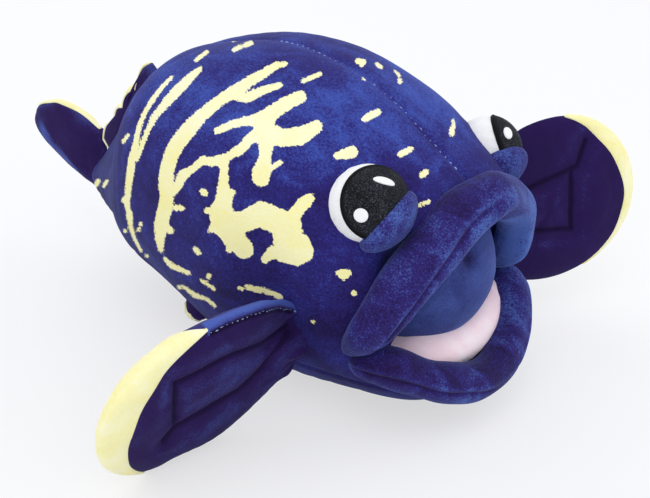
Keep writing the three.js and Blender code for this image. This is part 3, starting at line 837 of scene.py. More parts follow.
class Markings:
    """Yellow flank markings as strokes in the picture of the photograph: across, down, half width."""

    flank: list = [
        # Thin stripe nearest the tail, and the tapering stripe that joins it
        [(172, 77, 1), (163, 86, 1.6), (153, 99, 1.9), (145, 112, 1.9), (139, 127, 1.8), (136, 141, 2),
         (132, 158, 3.2), (130, 174, 3.3), (128, 190, 2.6), (127, 203, 2.1), (129, 215, 1.8),
         (131, 228, 1.5), (135, 240, 1.1), (141, 251, 0.8)],
        [(200, 69, 2), (188, 80, 4), (176, 92, 4.8), (166, 103, 3.9), (155, 116, 2.8), (147, 132, 1.9),
         (142, 146, 1.6), (137, 159, 1.4)],
        [(124, 200, 2)], [(130, 216, 2.2)], [(125, 231, 1.4)],
        # Broad band with a forked upper end
        [(286, 64, 1.6), (277, 65, 3), (264, 73, 4), (250, 81, 4.6), (236, 90, 5.4), (219, 101, 5),
         (202, 115, 6), (188, 130, 7.4), (177, 144, 7.2), (171, 156, 7), (167, 170, 6.6), (165, 186, 6.3),
         (167, 196, 5.8), (165, 208, 6.7), (161, 224, 6.3), (160, 238, 4.4), (161, 250, 2)],
        [(280, 85, 2.4), (264, 90, 3.6), (247, 98, 4.4), (234, 95, 4)],
        [(171, 231, 2.4), (165, 226, 3)],
        # Cross with five arms
        [(300, 97, 5.8), (285, 104, 6.4), (273, 112, 7), (263, 121, 8.8), (265, 132, 8.8), (266, 146, 6.4),
         (265, 158, 5.6), (261, 173, 8.8), (261, 178, 8)],
        [(316, 127, 6.2), (300, 136, 8.4), (283, 138, 8.4), (265, 130, 8)],
        [(217, 131, 2.9), (230, 125, 3.4), (245, 121, 4), (262, 120, 6)],
        [(262, 132, 6), (250, 139, 4.5), (241, 149, 4.8), (229, 156, 3.5), (221, 160, 4.4), (211, 162, 3.9),
         (203, 160, 3.7), (194, 168, 3), (183, 175, 4.4), (179, 184, 4), (173, 192, 3)],
        [(281, 162, 1.9), (272, 168, 2), (264, 171, 3)],
        # Large blot with a neck, a raised lobe and two feet
        [(224, 163, 3.8), (224, 177, 4), (223, 188, 5.4), (224, 200, 7.6), (221, 211, 10.8), (223, 222, 12),
         (231, 234, 10.4), (237, 241, 9), (244, 249, 9.2)],
        [(233, 192, 2.3), (226, 196, 4)],
        [(226, 224, 10.6), (246, 221, 10), (261, 214, 12), (277, 221, 12.4), (289, 227, 12.6),
         (287, 240, 13.6), (298, 245, 12.2), (304, 252, 9.2), (297, 256, 9.2), (281, 253, 8),
         (273, 252, 5.8), (265, 259, 3.6)],
        [(289, 222, 8), (296, 212, 6), (305, 202, 6), (310, 198, 4.4)],
        [(229, 250, 2.4), (232, 240, 4)], [(210, 231, 1.9), (216, 226, 4)],
        # Dots and dashes
        [(203, 192, 3.2), (206, 194, 2.2)], [(176, 208, 2.4), (182, 208, 2.2)], [(207, 211, 2.7)],
        [(195, 249, 2.2), (199, 253, 2.1)], [(141, 224, 1.7)], [(139, 230, 1.3)], [(147, 256, 1.5)],
        [(165, 259, 1.6), (172, 266, 2.2), (189, 273, 1.7)], [(201, 280, 1), (214, 289, 1.3)],
        [(209, 276, 2)], [(179, 287, 1.7)],
        [(184, 287, 0.9), (196, 296, 2), (207, 299, 1.2), (215, 306, 1.2)],
        [(239, 288, 1.5), (242, 289, 1.5)], [(247, 287, 2), (255, 289, 2.2), (266, 291, 2), (281, 297, 2)],
        [(262, 303, 0.9), (269, 306, 1.2)], [(207, 52, 1.4), (196, 60, 1.4)],
        [(240, 37, 1.4), (233, 40, 1.4)], [(234, 50, 1.7), (240, 47, 1.6)],
        [(246, 45, 1.9), (251, 43, 1.9)], [(303, 81, 1.8), (320, 74, 1.7)],
        [(128, 135, 1.2), (123, 142, 1.3)], [(98, 181, 1.6), (96, 185, 1.6)], [(107, 181, 1), (104, 186, 1)],
        [(364, 78, 1.7), (371, 78, 1.7)], [(364, 119, 2.5), (370, 116, 3.4), (378, 112, 2.6)],
        [(337, 156, 3.4), (345, 154, 4.6), (352, 152, 5.6)], [(401, 154, 2.8), (411, 149, 2.4)],
        [(422, 175, 2.7), (426, 172, 2.7)], [(417, 206, 1.6), (429, 202, 1.6)],
        [(339, 273, 2.6), (348, 273, 3.2), (343, 277, 2.6)], [(354, 293, 2.7)], [(313, 322, 1.9)],
    ]
    # Dots on the far side of the back seam
    far: list = [
        [(358, 61, 3), (363, 62, 3.2), (361, 65, 2)], [(377, 64, 2), (381, 67, 1.9)],
        [(395, 71, 1.2), (399, 75, 1.3)], [(400, 81, 2.7)], [(453, 120, 1.4), (454, 126, 1.4)],
        [(452, 129, 2.5), (452, 134, 2.5)],
    ]
    # Width over which strokes melt together, and spread of the print past them, picture points
    melt: float = 1.4
    spread: float = 0.6
    # Depths past this count as this, picture points
    reach: float = 20.0

    def depth(self, points: Array, normals: Array) -> Array:
        """How deep each point of the skin lies inside a marking.

        The strokes lie on the right flank. The left flank takes their mirror image, apart from the
        strip of it that the photograph shows, which has its own dots.

        Args:
            points: (n, 3) places on the skin, mm.
            normals: (n, 3) outward normals.

        Returns:
            (n,) depths in mm, positive inside.
        """
        mirror = np.array([-1.0, 1.0, 1.0])
        left = points[:, 0] > 0
        near = np.where(left[:, None], points * mirror, points)
        near_normals = np.where(left[:, None], normals * mirror, normals)
        depth = stroke_depth(VIEW.pixels(near), self.flank, self.melt) + self.spread
        depth[~VIEW.sees(near, near_normals)] = -self.reach
        seen = left & VIEW.sees(points, normals)
        depth[seen] = stroke_depth(VIEW.pixels(points[seen]), self.far, self.melt)
        return np.clip(depth, -self.reach, self.reach) * POINT


@dataclass
class Body:
    """The stuffed body: one skin sewn from two flanks and a belly panel."""

    # Each section: place along the body, height of the back, height of the belly, half width
    sections: tuple = (
        (FACE_Y, 104, 60, 26), (-107, 119, 25, 48), (-97, 134, 9.5, 62), (-77, 149, 2, 71),
        (-44, 171, -3, 79), (-5, 184, -6, 84), (28, 188, -6, 82), (61, 184, 5, 78), (95, 174.5, 15, 71),
        (120, 160.5, 20, 63.5), (146, 141, 30, 47), (175, 109, 38, 31), (203, 79, 50, 15),
        (STUMP_Y, 73, 54, 9),
    )
    # Level of the greatest width as a share of the height, and where the body is fullest
    widest: float = 0.46
    fullest: float = 28.0
    # How square the sections are: the back, the back of the rear, and the belly
    back_roundness: float = 2.6
    rear_roundness: float = 1.12
    belly_roundness: float = 1.95
    # Places along the body between which the back turns from broad to sharp
    sharpening: Pair = (88.0, 146.0)
    # Taken off every half width
    slim: float = 0.9
    # Radius of the turn from the belly into the part that rests on the floor
    rest_round: float = 4.0
    rings: int = 270
    sides: int = 300
    # Points of the lines that places along the body and round it are read from
    line_points: int = 4000
    loop_points: int = 20001
    stuffing: Stuffing = Stuffing(2.4, 40.0)
    # Held skin: this near the back seam and the fin roots, and at both ends
    held_seam: float = 4.0
    held_root: float = 26.0
    held_ends: Pair = (-62.0, 190.0)
    # Height up to which the skin lies still on the floor
    rest_height: float = 6.0
    # Angle of the belly seams from the back seam, degrees, and sink and width of every seam
    belly_seam: float = 126.0
    seam_depth: float = 1.3
    seam_width: float = 2.2
    # Height and wavelength of the uneven stuffing
    lump: float = 0.7
    lump_length: float = 62.0
    seed: int = 3
    # Hollow behind the mouth: depth, half width and height, level, squareness, where it sets in
    mouth_depth: float = 30.0
    mouth_half: Pair = (60.0, 40.0)
    mouth_level: float = 76.0
    mouth_square: int = 6
    mouth_start: Pair = (-64.0, -92.0)
    # Painted light: lighter on the shoulders, less so on the crest; painted shade below and behind
    shoulder_painted_light: Rise = Rise(0.32, 135.0, 162.0)
    crest_painted_light_cut: Rise = Rise(0.75, 168.0, 186.0)
    flank_painted_shade: Rise = Rise(0.09, 150.0, 110.0)
    belly_painted_shade: Rise = Rise(0.08, 110.0, 50.0)
    rear_painted_shade: Rise = Rise(0.06, 90.0, 150.0)
    fill: float = 0.85

    def section(self, t: Array) -> Array:
        """Sections at places along the body: along, back, belly and half width on the last axis."""
        return spline(np.array(self.sections), np.ravel(t), stretched=False).reshape(*np.shape(t), 4)

    def point(self, t: Array, angle: Array) -> Array:
        """Points of the skin before sewing marks.

        Half of each section is a superellipse above its widest level and half one below it.

        Args:
            t: places along the body, 0 face to 1 tail root.
            angle: angles round it from its left side, radians, same shape as t.

        Returns:
            (..., 3) points, mm.
        """
        y, back, belly, half = np.moveaxis(self.section(t), -1, 0)
        level = belly + (back - belly) * self.widest
        upper = np.sin(angle) > 0
        ease = smooth(*self.sharpening, y)
        roundness = self.back_roundness + (self.rear_roundness - self.back_roundness) * ease
        power = 2 / np.where(upper, roundness, self.belly_roundness)
        half = half - self.slim
        x = half * np.sign(np.cos(angle)) * np.abs(np.cos(angle)) ** power
        reach = np.where(upper, back - level, level - belly)
        z = level + reach * np.sign(np.sin(angle)) * np.abs(np.sin(angle)) ** power
        low = (z + np.hypot(z, self.rest_round)) / 2
        return np.stack([x, y, np.where(upper, z, low)], -1)

    def at(self, y: float) -> float:
        """Place along the body whose section stands at y."""
        t = np.linspace(0, 1, self.line_points)
        return float(np.interp(y, self.section(t)[:, 0], t))

    def seat(self, y: float, degrees: float) -> tuple[Array, Array]:
        """A place on the skin and its outward normal."""
        t, angle, step = self.at(y), math.radians(degrees), 1e-3
        here = self.point(np.array([t, t, t, t + step, t - step]),
                          np.array([angle, angle + step, angle - step, angle, angle]))
        return here[0], unit(np.cross(here[3] - here[4], here[1] - here[2]))

    def grid(self) -> tuple[Array, Array]:
        """Points of the skin, even along the back and round the fullest section, and their angles."""
        line = np.linspace(0, 1, self.line_points)
        run = run_length(self.section(line)[:, :2])
        t = np.interp(np.linspace(0, run[-1], self.rings), run, line)
        turn = np.linspace(0, 2 * np.pi, self.loop_points) + np.pi / 2
        girth = run_length(self.point(np.full(len(turn), self.at(self.fullest)), turn))
        angle = np.interp(np.arange(self.sides) / self.sides * girth[-1], girth, turn)
        return self.point(*np.meshgrid(t, angle, indexing="ij")), angle

    def held(self, grid: Array, back: Array, dents: Dents) -> Array:
        """True where a seam, a root, an end or the floor holds the skin."""
        away = np.min([np.linalg.norm(grid - place, axis=-1) for place, _, _ in dents], axis=0)
        ends = (grid[..., 1] < self.held_ends[0]) | (grid[..., 1] > self.held_ends[1])
        return (back < self.held_seam) | (away < self.held_root) | ends | (grid[..., 2] < self.rest_height)

    def sewn(self, grid: Array, normals: Array, angle: Array, back: Array,
             dents: Dents) -> Array:
        """The skin with uneven stuffing, sunk seams, drawn-in roots and the hollow behind the mouth.

        Seams and roots sink along bell curves, and the hollow is a superellipse seen from the front.

        Args:
            grid: (rings, sides, 3) points of the stuffed skin.
            normals: their outward normals.
            angle: (sides,) angles round the body.
            back: distance of each point from the back seam.
            dents: places where a sewn root pulls the skin in: place, reach and depth, mm.

        Returns:
            The sewn points.
        """
        lift = self.lump * Lumps(self.seed, self.lump_length).at(grid)
        lift -= self.seam_depth * hill(back, self.seam_width)
        out = np.linalg.norm(grid - grid.mean(axis=1, keepdims=True), axis=-1)
        for side in Side:
            seam = np.pi / 2 + side * math.radians(self.belly_seam)
            lift -= self.seam_depth * hill(np.abs(turn_between(angle, seam)) * out, self.seam_width)
        for place, reach, depth in dents:
            lift -= depth * hill(np.linalg.norm(grid - place, axis=-1), reach)
        lift *= smooth(0.0, self.rest_height, grid[..., 2])
        grid = grid + lift[..., None] * normals
        grid[..., 2] = np.maximum(grid[..., 2], 0.0)
        across = (grid[..., 0] / self.mouth_half[0]) ** self.mouth_square
        up = ((grid[..., 2] - self.mouth_level) / self.mouth_half[1]) ** self.mouth_square
        grid[..., 1] += self.mouth_depth * np.exp(-across - up) * smooth(*self.mouth_start, grid[..., 1])
        return grid

    def painted_light_and_tone(self, points: Array) -> Array:
        """Painted light and shade at points of the skin: lighter on the shoulders, darker low down and
        behind.
        """
        height, along = points[:, 2], points[:, 1]
        light = self.shoulder_painted_light.at(height) * (1 - self.crest_painted_light_cut.at(height))
        return light - (self.flank_painted_shade.at(height) + self.belly_painted_shade.at(height) + self.rear_painted_shade.at(along))

    def build(self, fabrics: Fabrics, dents: Dents) -> None:
        """Makes the skin.

        Args:
            fabrics: the toy's fabrics.
            dents: places where a sewn root pulls the skin in: place, reach and depth, mm.
        """
        grid, angle = self.grid()
        back = np.where(np.sin(angle) > 0, np.abs(grid[..., 0]), FAR)
        grid = self.stuffing.swell(grid, self.held(grid, back, dents))
        normals = grid_normals(grid)
        grid = self.sewn(grid, normals, angle, back, dents)
        surface = tube(grid)
        depth = Markings().depth(grid.reshape(-1, 3), normals.reshape(-1, 3))
        values = {"marking": with_poles(depth, -Markings.reach), "painted_light_and_tone": self.painted_light_and_tone(surface.points)}
        piece = add_mesh("body_skin", surface, fabrics.skin, values)
        nodes = ("right_flank_panel", "left_flank_panel", "belly_panel", "body_fill")
        dress(nodes)
        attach(piece, "body")


@dataclass
class StitchRow:
    """A row of short thread stitches along a line."""

    length: float = 2.4
    pitch: float = 4.0
    thick: float = 0.4
    # How deep a stitch may sink, and its least length as a share of the length
    sink: float = 0.9
    shortest: float = 0.2
    # Height of a stitch's arch and squared width of its ends, as shares of its thickness
    arch: float = 0.25
    end: float = 0.05
    # Distance either way over which the way of the line is measured
    step: float = 0.5
    seed: int = 17
    rings: int = 5
    sides: int = 6

    def surface(self, line: Array, normals: Array) -> Surface:
        """Stitches along a line, each a small spindle of thread.

        Args:
            line: (n, 3) points along the seam.
            normals: (n, 3) outward normals there.

        Returns:
            All the stitches as one surface.
        """
        run = run_length(line)
        middles = np.arange(self.pitch, run[-1] - self.pitch, self.pitch)
        here = read_along(middles, run, line)
        ahead, behind = (read_along(middles + way * self.step, run, line) for way in (1, -1))
        along = unit(ahead - behind)
        out = unit(read_along(middles, run, normals))
        across = unit(np.cross(along, out))
        u = np.linspace(-1, 1, self.rings)
        angle = full_turn(self.sides)
        width = self.thick * np.sqrt(np.maximum(1 - u**2, self.end))
        arch = self.arch * self.thick * (1 - u**2)
        spindles = []
        random = np.random.default_rng(self.seed)
        for p, a, o, c in zip(here, along, out, across):
            size, sunk = random.uniform(self.shortest, 1.0), random.uniform(0.0, self.sink)
            p = p - sunk * o
            ring = (p + (u * size * self.length / 2)[:, None] * a + arch[:, None] * o)[:, None, :]
            spoke = np.cos(angle)[:, None] * o + np.sin(angle)[:, None] * c
            spindles.append(tube(ring + width[:, None, None] * spoke))
        return merge(spindles)


# Mouth


@dataclass
class Lip:
    """A stuffed roll from mouth corner to mouth corner, with a seam along its face."""

    name: str
    # Nodes of the roll from the right corner to the left one: across, along, up, radius
    path: tuple
    # Angle round the roll of its seam, from the front, at the corners and in the middle, degrees
    seam: Pair
    # Level that the sections fan out from, or None where they stand upright
    fan: float | None = None
    # Height of the seam's ridge, and its width round the roll, degrees
    seam_height: float = 0.9
    seam_width: float = 8.5
    # How much of the seam shows on the left half
    left_seam: float = 1.0
    # Distances from the middle over which the seam comes up, and turns to its corner angle
    seam_start: Pair = (0.0, 16.0)
    seam_turn: Pair = (15.0, 62.0)
    # Crease on the seam's mouth side: place and width as shares of the seam's width, depth
    crease_at: float = -1.7
    crease_width: float = 0.8
    crease_depth: float = 1.1
    # Swell on the mouth side: height, then place and width round the roll, degrees
    inner_swell: float = 0.0
    swell_at: float = -42.0
    swell_width: float = 22.0
    stuffing: Stuffing = Stuffing(1.6, 900.0)
    # Cosine of the angle behind which the roll is sewn to the face
    sewn_behind: float = -0.3
    # Shares of the length: round part of an end, held part, fades of seam, lumps and swell
    end_round: float = 0.05
    end_held: float = 0.06
    # Squared share of the radius that is left at the tips
    tip: float = 0.01
    seam_fade: Pair = (0.01, 0.1)
    lump_fade: Pair = (0.0, 0.1)
    swell_fade: Pair = (0.02, 0.12)
    # Height of lumps, and degrees that the seam wanders, each with its wavelength
    lump: Pair = (0.8, 30.0)
    wander: Pair = (2.5, 22.0)
    # Least height above the floor
    rest: float = 0.6
    # Painted light and shade outside the seam, inside it, and on the far half: darker outside, lighter
    # inside and on the far half
    painted_light_and_tone: Triple = (-0.03, 0.15, 0.37)
    # Angles where the inside sets in and ends, and places where the far half sets in
    inside_start: Pair = (6.0, -6.0)
    inside_end: Pair = (-150.0, -120.0)
    far_start: Pair = (6.0, 40.0)
    # Painted highlight on the ridge, and painted shade in the crease with its width in degrees
    ridge_painted_highlight: Ridge = Ridge(0.14, 1.0, 7.0)
    crease_painted_shade: Pair = (0.32, 7.0)
    fill: float = 0.8
    rings: int = 240
    sides: int = 132
    path_points: int = 900
    seed: int = 5

    def frame(self) -> tuple[Array, Array, Array, Array]:
        """Middle line of the roll, its radius, and the forward and upward ways of its sections."""
        run = evenly(spline(np.array(self.path, float), np.linspace(0, 1, self.path_points)), self.rings)
        line, thick = run[:, :3], run[:, 3]
        up = np.tile([0.0, 0.0, 1.0], (self.rings, 1))
        if self.fan is not None:
            up = unit(np.stack([line[:, 0], 0 * thick, line[:, 2] - self.fan], -1))
        forward = unit(np.cross(unit(np.gradient(line, axis=0)), up))
        return line, thick, forward, up

    def from_seam(self, line: Array, angle: Array) -> Array:
        """Turn of each point of the roll from its seam, degrees, positive away from the mouth."""
        corner, middle = self.seam
        seam = middle + (corner - middle) * smooth(*self.seam_turn, np.abs(line[:, 0]))
        seam = seam + self.wander[0] * Lumps(self.seed + 2, self.wander[1]).at(line)
        return np.degrees(turn_between(angle[None], np.radians(seam)[:, None]))

    def build(self, fabrics: Fabrics) -> None:
        """Makes the roll.

        Each section is a circle; the seam stands up as a narrow ridge with a crease on its mouth side.

        Args:
            fabrics: the toy's fabrics.
        """
        line, thick, forward, up = self.frame()
        t = np.linspace(0, 1, self.rings)
        ends = np.minimum(t, 1 - t)
        thick = thick * np.sqrt(np.clip(1 - (1 - ends / self.end_round).clip(0, 1) ** 2, self.tip, 1))
        angle = full_turn(self.sides)
        ahead, over = np.cos(angle)[None, :, None], np.sin(angle)[None, :, None]
        grid = line[:, None] + thick[:, None, None] * (ahead * forward[:, None] + over * up[:, None])
        held = (np.cos(angle)[None] < self.sewn_behind) | (ends < self.end_held)[:, None]
        grid = self.stuffing.swell(grid, held)
        normals = grid_normals(grid)
        turn = self.from_seam(line, angle)
        side = np.where(line[:, 0] > 0, self.left_seam, 1.0)
        from_middle = smooth(*self.seam_start, np.abs(line[:, 0]))
        shown = (side * smooth(*self.seam_fade, ends) * from_middle)[:, None]
        crease = turn - self.crease_at * self.seam_width
        sunk = self.crease_depth * hill(crease, self.crease_width * self.seam_width)
        lumps = self.lump[0] * Lumps(self.seed, self.lump[1]).at(grid)
        lift = lumps * smooth(*self.lump_fade, ends)[:, None]
        lift = lift + self.seam_height * shown * (hill(turn, self.seam_width) - sunk)
        swell = self.inner_swell * smooth(*self.swell_fade, ends)[:, None]
        lift = lift + swell * hill(turn - self.swell_at, self.swell_width)
        grid = grid + lift[..., None] * normals
        grid[..., 2] = np.maximum(grid[..., 2], self.rest)
        # Painted light and shade round the roll, a painted highlight on the seam's ridge and painted shade
        # in its crease
        outside, inside, far = self.painted_light_and_tone
        within = smooth(*self.inside_start, turn) * smooth(*self.inside_end, turn)
        painted_light_and_tone = outside + (inside - outside) * within + far * smooth(*self.far_start, line[:, 0])[:, None]
        painted_light_and_tone = painted_light_and_tone + shown * (self.ridge_painted_highlight.at(turn) - self.crease_painted_shade[0] * hill(crease, self.crease_painted_shade[1]))
        piece = add_mesh(self.name, tube(grid), fabrics.plush, {"painted_light_and_tone": with_poles(painted_light_and_tone, 0)})
        dress((self.name.removesuffix("_roll"),))
        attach(piece, "body")


@dataclass
class Pad:
    """A stuffed pad in the mouth, a swollen ellipsoid."""

    name: str
    node: str
    half: Triple
    middle: Triple
    fill: float
    # Share of its depth that lies behind its middle
    behind: float = 0.4
    # How far its right and its left end turn up
    curl: Pair = (0.0, 0.0)
    # Place of a dimple in the photograph, or None, and its half sizes, picture points
    dimple: Pair | None = None
    dimple_half: Pair = (7.0, 12.0)
    dimple_depth: float = 3.5
    # How much painted shade darkens the dimple
    dimple_painted_shade: float = 0.6
    stuffing: Stuffing = Stuffing(1.4, 60.0, step=3)
    # Held: behind this share of its depth, and past this share of its half width
    held_behind: float = -0.2
    held_ends: float = 0.9
    # Height and wavelength of the uneven stuffing
    lump: Pair = (0.5, 40.0)
    seed: int = 11
    # Angle of the first ring from the pole, radians
    pole: float = 0.01
    rows: int = 90
    columns: int = 150

    def build(self, material: Material, slot: Slot, painted_light_and_tone: float) -> None:
        """Makes the pad.

        Args:
            material: its fabric.
            slot: material slot of the record; not used.
            painted_light_and_tone: how light the fabric's own tone lies all over.
        """
        polar = np.linspace(self.pole, np.pi - self.pole, self.rows)[:, None]
        turn = full_turn(self.columns)[None]
        ball = np.stack([np.cos(polar) + 0 * turn, np.sin(polar) * np.cos(turn),
                         np.sin(polar) * np.sin(turn)], -1)
        ball[..., 1] *= np.where(ball[..., 1] > 0, self.behind, 1.0)
        grid = ball * np.array(self.half) + np.array(self.middle)
        grid[..., 2] += np.where(ball[..., 0] < 0, *self.curl) * ball[..., 0] ** 2
        held = (ball[..., 1] > self.held_behind) | (np.abs(ball[..., 0]) > self.held_ends)
        grid = self.stuffing.swell(grid, held)
        normals = grid_normals(grid)
        lift = self.lump[0] * Lumps(self.seed, self.lump[1]).at(grid)
        shade = np.full(grid.shape[:2], painted_light_and_tone)
        if self.dimple:
            off = (VIEW.pixels(grid) - self.dimple) / self.dimple_half
            close = np.exp(-(off**2).sum(-1)) * VIEW.sees(grid, normals)
            lift -= self.dimple_depth * close
            # Painted shade in the dimple
            shade -= self.dimple_painted_shade * close
        grid = grid + lift[..., None] * normals
        piece = add_mesh(self.name, tube(grid), material, {"painted_light_and_tone": with_poles(shade, painted_light_and_tone)})
        dress((self.node,))
        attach(piece, "body")


# Eyes


@dataclass
class Eye:
    """A felt ball with a satin iris, two light spots and a padded lower lid."""

    side: Side
    centre: Array
    radius: float = 19.5
    # Height and wavelength of the felt's unevenness
    felt: Pair = (0.15, 5.0)
    # Gap between ball and iris, and how deep iris and spots sink into what they lie on
    gap: float = 0.3
    sink: float = 0.2
    # Turn of the gaze on the right and on the left, and its lift, degrees
    yaw: Pair = (28.0, 32.0)
    pitch: float = 24.0
    # Half angle of the iris on the right and on the left, degrees
    iris_spread: Pair = (65.5, 62.5)
    iris_thick: float = 0.8
    # Round rims: end of the flat part, width of the round part, squared height left, power
    iris_rim: tuple[float, ...] = (0.9, 0.1, 0.04)
    spot_rim: tuple[float, ...] = (0.7, 0.3, 0.03)
    lid_rim: tuple[float, ...] = (0.62, 0.38, 0.002, 2.4)
    # Ring of satin stitches near the rim of the iris: how it stands up, and its dark line
    welt: Ridge = Ridge(0.45, 0.955, 0.03)
    welt_nap: Ridge = Ridge(-0.9, 0.93, 0.045)
    spot_thick: float = 0.6
    # Light bar on the right and on the left: way, half angle in degrees, narrowness
    bar_way: tuple = ((-0.17, -0.58, 0.78), (-0.1, -0.7, 0.71))
    bar_spread: Pair = (16.0, 11.0)
    bar_squeeze: Pair = (0.36, 0.75)
    # Ways on the left side: long axis of the bar, middle of the dot, middle of the lid
    bar_long: Triple = (-0.66, -0.7, -0.2)
    dot_way: Triple = (0.88, -0.46, 0.12)
    lid_way: Triple = (-0.25, -0.756, -0.605)
    dot_spread: float = 10.0
    # Distance of the lid's edge from the ball's centre, at this share of the lid's thickness
    lid_line: float = 10.5
    lid_measured: float = 0.4
    lid_thick: float = 4.6
    lid_sink: float = 0.5
    lid_nap: float = 0.22
    ball_fill: float = 0.9
    lid_fill: float = 0.7
    # Nearest ring to a pole: angle in radians on the ball, share of the spread on a cap
    pole: float = 0.02
    ball_rings: int = 80
    cap_rings: int = 40
    spot_rings: int = 14
    columns: int = 120
    seed: int = 21

    def mirrored(self, way: Triple) -> Triple:
        """A way on this side, from the same way on the left side."""
        return (self.side * way[0], way[1], way[2])

    def cap(self, way: Array, spread: float, inner: float, height: Array, squeeze: float = 1.0,
            long_way: Triple = (1.0, 0.0, 0.0)) -> Surface:
        """A closed cap that lies on the ball: rings that open from its middle way by even angles.

        Args:
            way: direction of its middle.
            spread: half angle of its rim, degrees.
            inner: radius of its under side.
            height: heights above that from its middle to its rim, evenly spread.
            squeeze: how narrow it is one way.
            long_way: direction of its long axis.

        Returns:
            The cap; its points run from the middle over the rim to the middle of the under side.
        """
        way = unit(np.asarray(way, float))
        b = unit(np.cross(way, long_way))
        a = np.cross(b, way)
        turn = full_turn(self.columns)
        flat = np.stack([np.cos(turn), squeeze * np.sin(turn)], -1)
        long = np.linalg.norm(flat, axis=-1)
        share = np.linspace(self.pole, 1, len(height))
        tilt = math.radians(spread) * share[:, None] * long[None]
        spoke = (flat / long[:, None]) @ np.stack([a, b])
        ways = np.cos(tilt)[..., None] * way + np.sin(tilt)[..., None] * spoke
        outer = self.centre + (inner + height)[:, None, None] * ways
        under = self.centre + inner * ways
        return tube(np.concatenate([outer, under[::-1]]))

    def ball(self) -> Surface:
        """The felt ball."""
        polar = np.linspace(self.pole, np.pi - self.pole, self.ball_rings)[:, None]
        turn = full_turn(self.columns)[None]
        ways = np.stack([np.sin(polar) * np.cos(turn), np.sin(polar) * np.sin(turn),
                         np.cos(polar) + 0 * turn], -1)
        felt = self.radius + self.felt[0] * Lumps(self.seed + self.side, self.felt[1]).at(ways * self.radius)
        return tube(self.centre + felt[..., None] * ways)

    def iris(self, inner: float, rim: Array) -> Surface:
        """The iris, a cap round the gaze with a raised ring near its rim.

        Args:
            inner: radius that it lies on.
            rim: places from its middle to its rim, 0 to 1.

        Returns:
            The cap.
        """
        yaw, pitch = math.radians(self.yaw[self.side > 0]), math.radians(self.pitch)
        gaze = np.array([self.side * math.sin(yaw) * math.cos(pitch),
                         -math.cos(yaw) * math.cos(pitch), math.sin(pitch)])
        height = (self.iris_thick + self.sink) * rounded(rim, *self.iris_rim) + self.welt.at(rim)
        return self.cap(gaze, self.iris_spread[self.side > 0], inner - self.sink, height)

    def lid(self, inner: float, rim: Array) -> Surface:
        """The lower lid, a thick cap under the ball."""
        spread = math.degrees(math.acos(self.lid_line / (inner + self.lid_measured * self.lid_thick)))
        height = (self.lid_thick + self.lid_sink) * rounded(rim, *self.lid_rim)
        return self.cap(self.mirrored(self.lid_way), spread, inner - self.lid_sink, height)

    def build(self, fabrics: Fabrics) -> None:
        """Makes the eye.

        Args:
            fabrics: the toy's fabrics.
        """
        left = self.side > 0
        inner = self.radius + self.gap
        rim = np.linspace(0, 1, self.cap_rings)
        spot = (self.spot_thick + self.sink) * rounded(np.linspace(0, 1, self.spot_rings), *self.spot_rim)
        under_spot = inner + self.iris_thick - self.sink
        bar = self.cap(self.bar_way[left], self.bar_spread[left], under_spot, spot, self.bar_squeeze[left],
                       self.mirrored(self.bar_long))
        dot = self.cap(self.mirrored(self.dot_way), self.dot_spread, under_spot, spot)
        lid = self.lid(inner, rim)
        dark = np.repeat(self.welt_nap.at(rim), self.columns)
        satin = {"painted_light_and_tone": with_poles(np.concatenate([dark, 0 * dark]), 0)}
        brushed = {"painted_light_and_tone": np.full(len(lid.points), self.lid_nap)}
        pieces = (
            ("eyeball", self.ball(), fabrics.white, Slot.WHITE, self.ball_fill, None),
            ("iris", self.iris(inner, rim), fabrics.black, Slot.BLACK, None, satin),
            ("glint_bar", bar, fabrics.white, Slot.WHITE, None, None),
            ("glint_dot", dot, fabrics.white, Slot.WHITE, None, None),
            ("lower_lid", lid, fabrics.plush, Slot.NAVY, self.lid_fill, brushed),
        )
        for part, surface, fabric, slot, fill, values in pieces:
            piece = add_mesh(f"{self.side.word}_eye_{part}", surface, fabric, values)
            dress((f"{self.side.word}_{part}",))
            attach(piece, "body")


# Fins


# How far a fin's root goes into the body, mm
TUCK = 9.0
ROOT_POINTS = 40
BLADE_POINTS = 240


def turned(sweep: float, droop: float, twist: float) -> Array:
    """Rotation of a fin from its three angles, twist first and sweep last, as a 3 by 3 matrix."""
    turns = Matrix.Rotation(math.radians(sweep), 3, "Z") @ Matrix.Rotation(math.radians(droop), 3, "Y")
    return np.array(turns @ Matrix.Rotation(math.radians(twist), 3, "X"))


def bezier(a: tuple, b: tuple, c: tuple, d: tuple, steps: int = 60) -> Array:
    """Points of a cubic Bezier curve, without its last."""
    t = np.linspace(0, 1, steps, endpoint=False)[:, None]
    a, b, c, d = (np.array(p, float) for p in (a, b, c, d))
    return (1 - t) ** 3 * a + 3 * t * (1 - t) ** 2 * b + 3 * t * t * (1 - t) * c + t**3 * d


def straight_root(foot: float, shoulder: float, whole: bool = False) -> Array:
    """Points of a root from its foot to its shoulder, with its last point where it is whole."""
    return np.stack([np.full(ROOT_POINTS, -TUCK),
                     np.linspace(foot, shoulder, ROOT_POINTS, endpoint=whole)], -1)


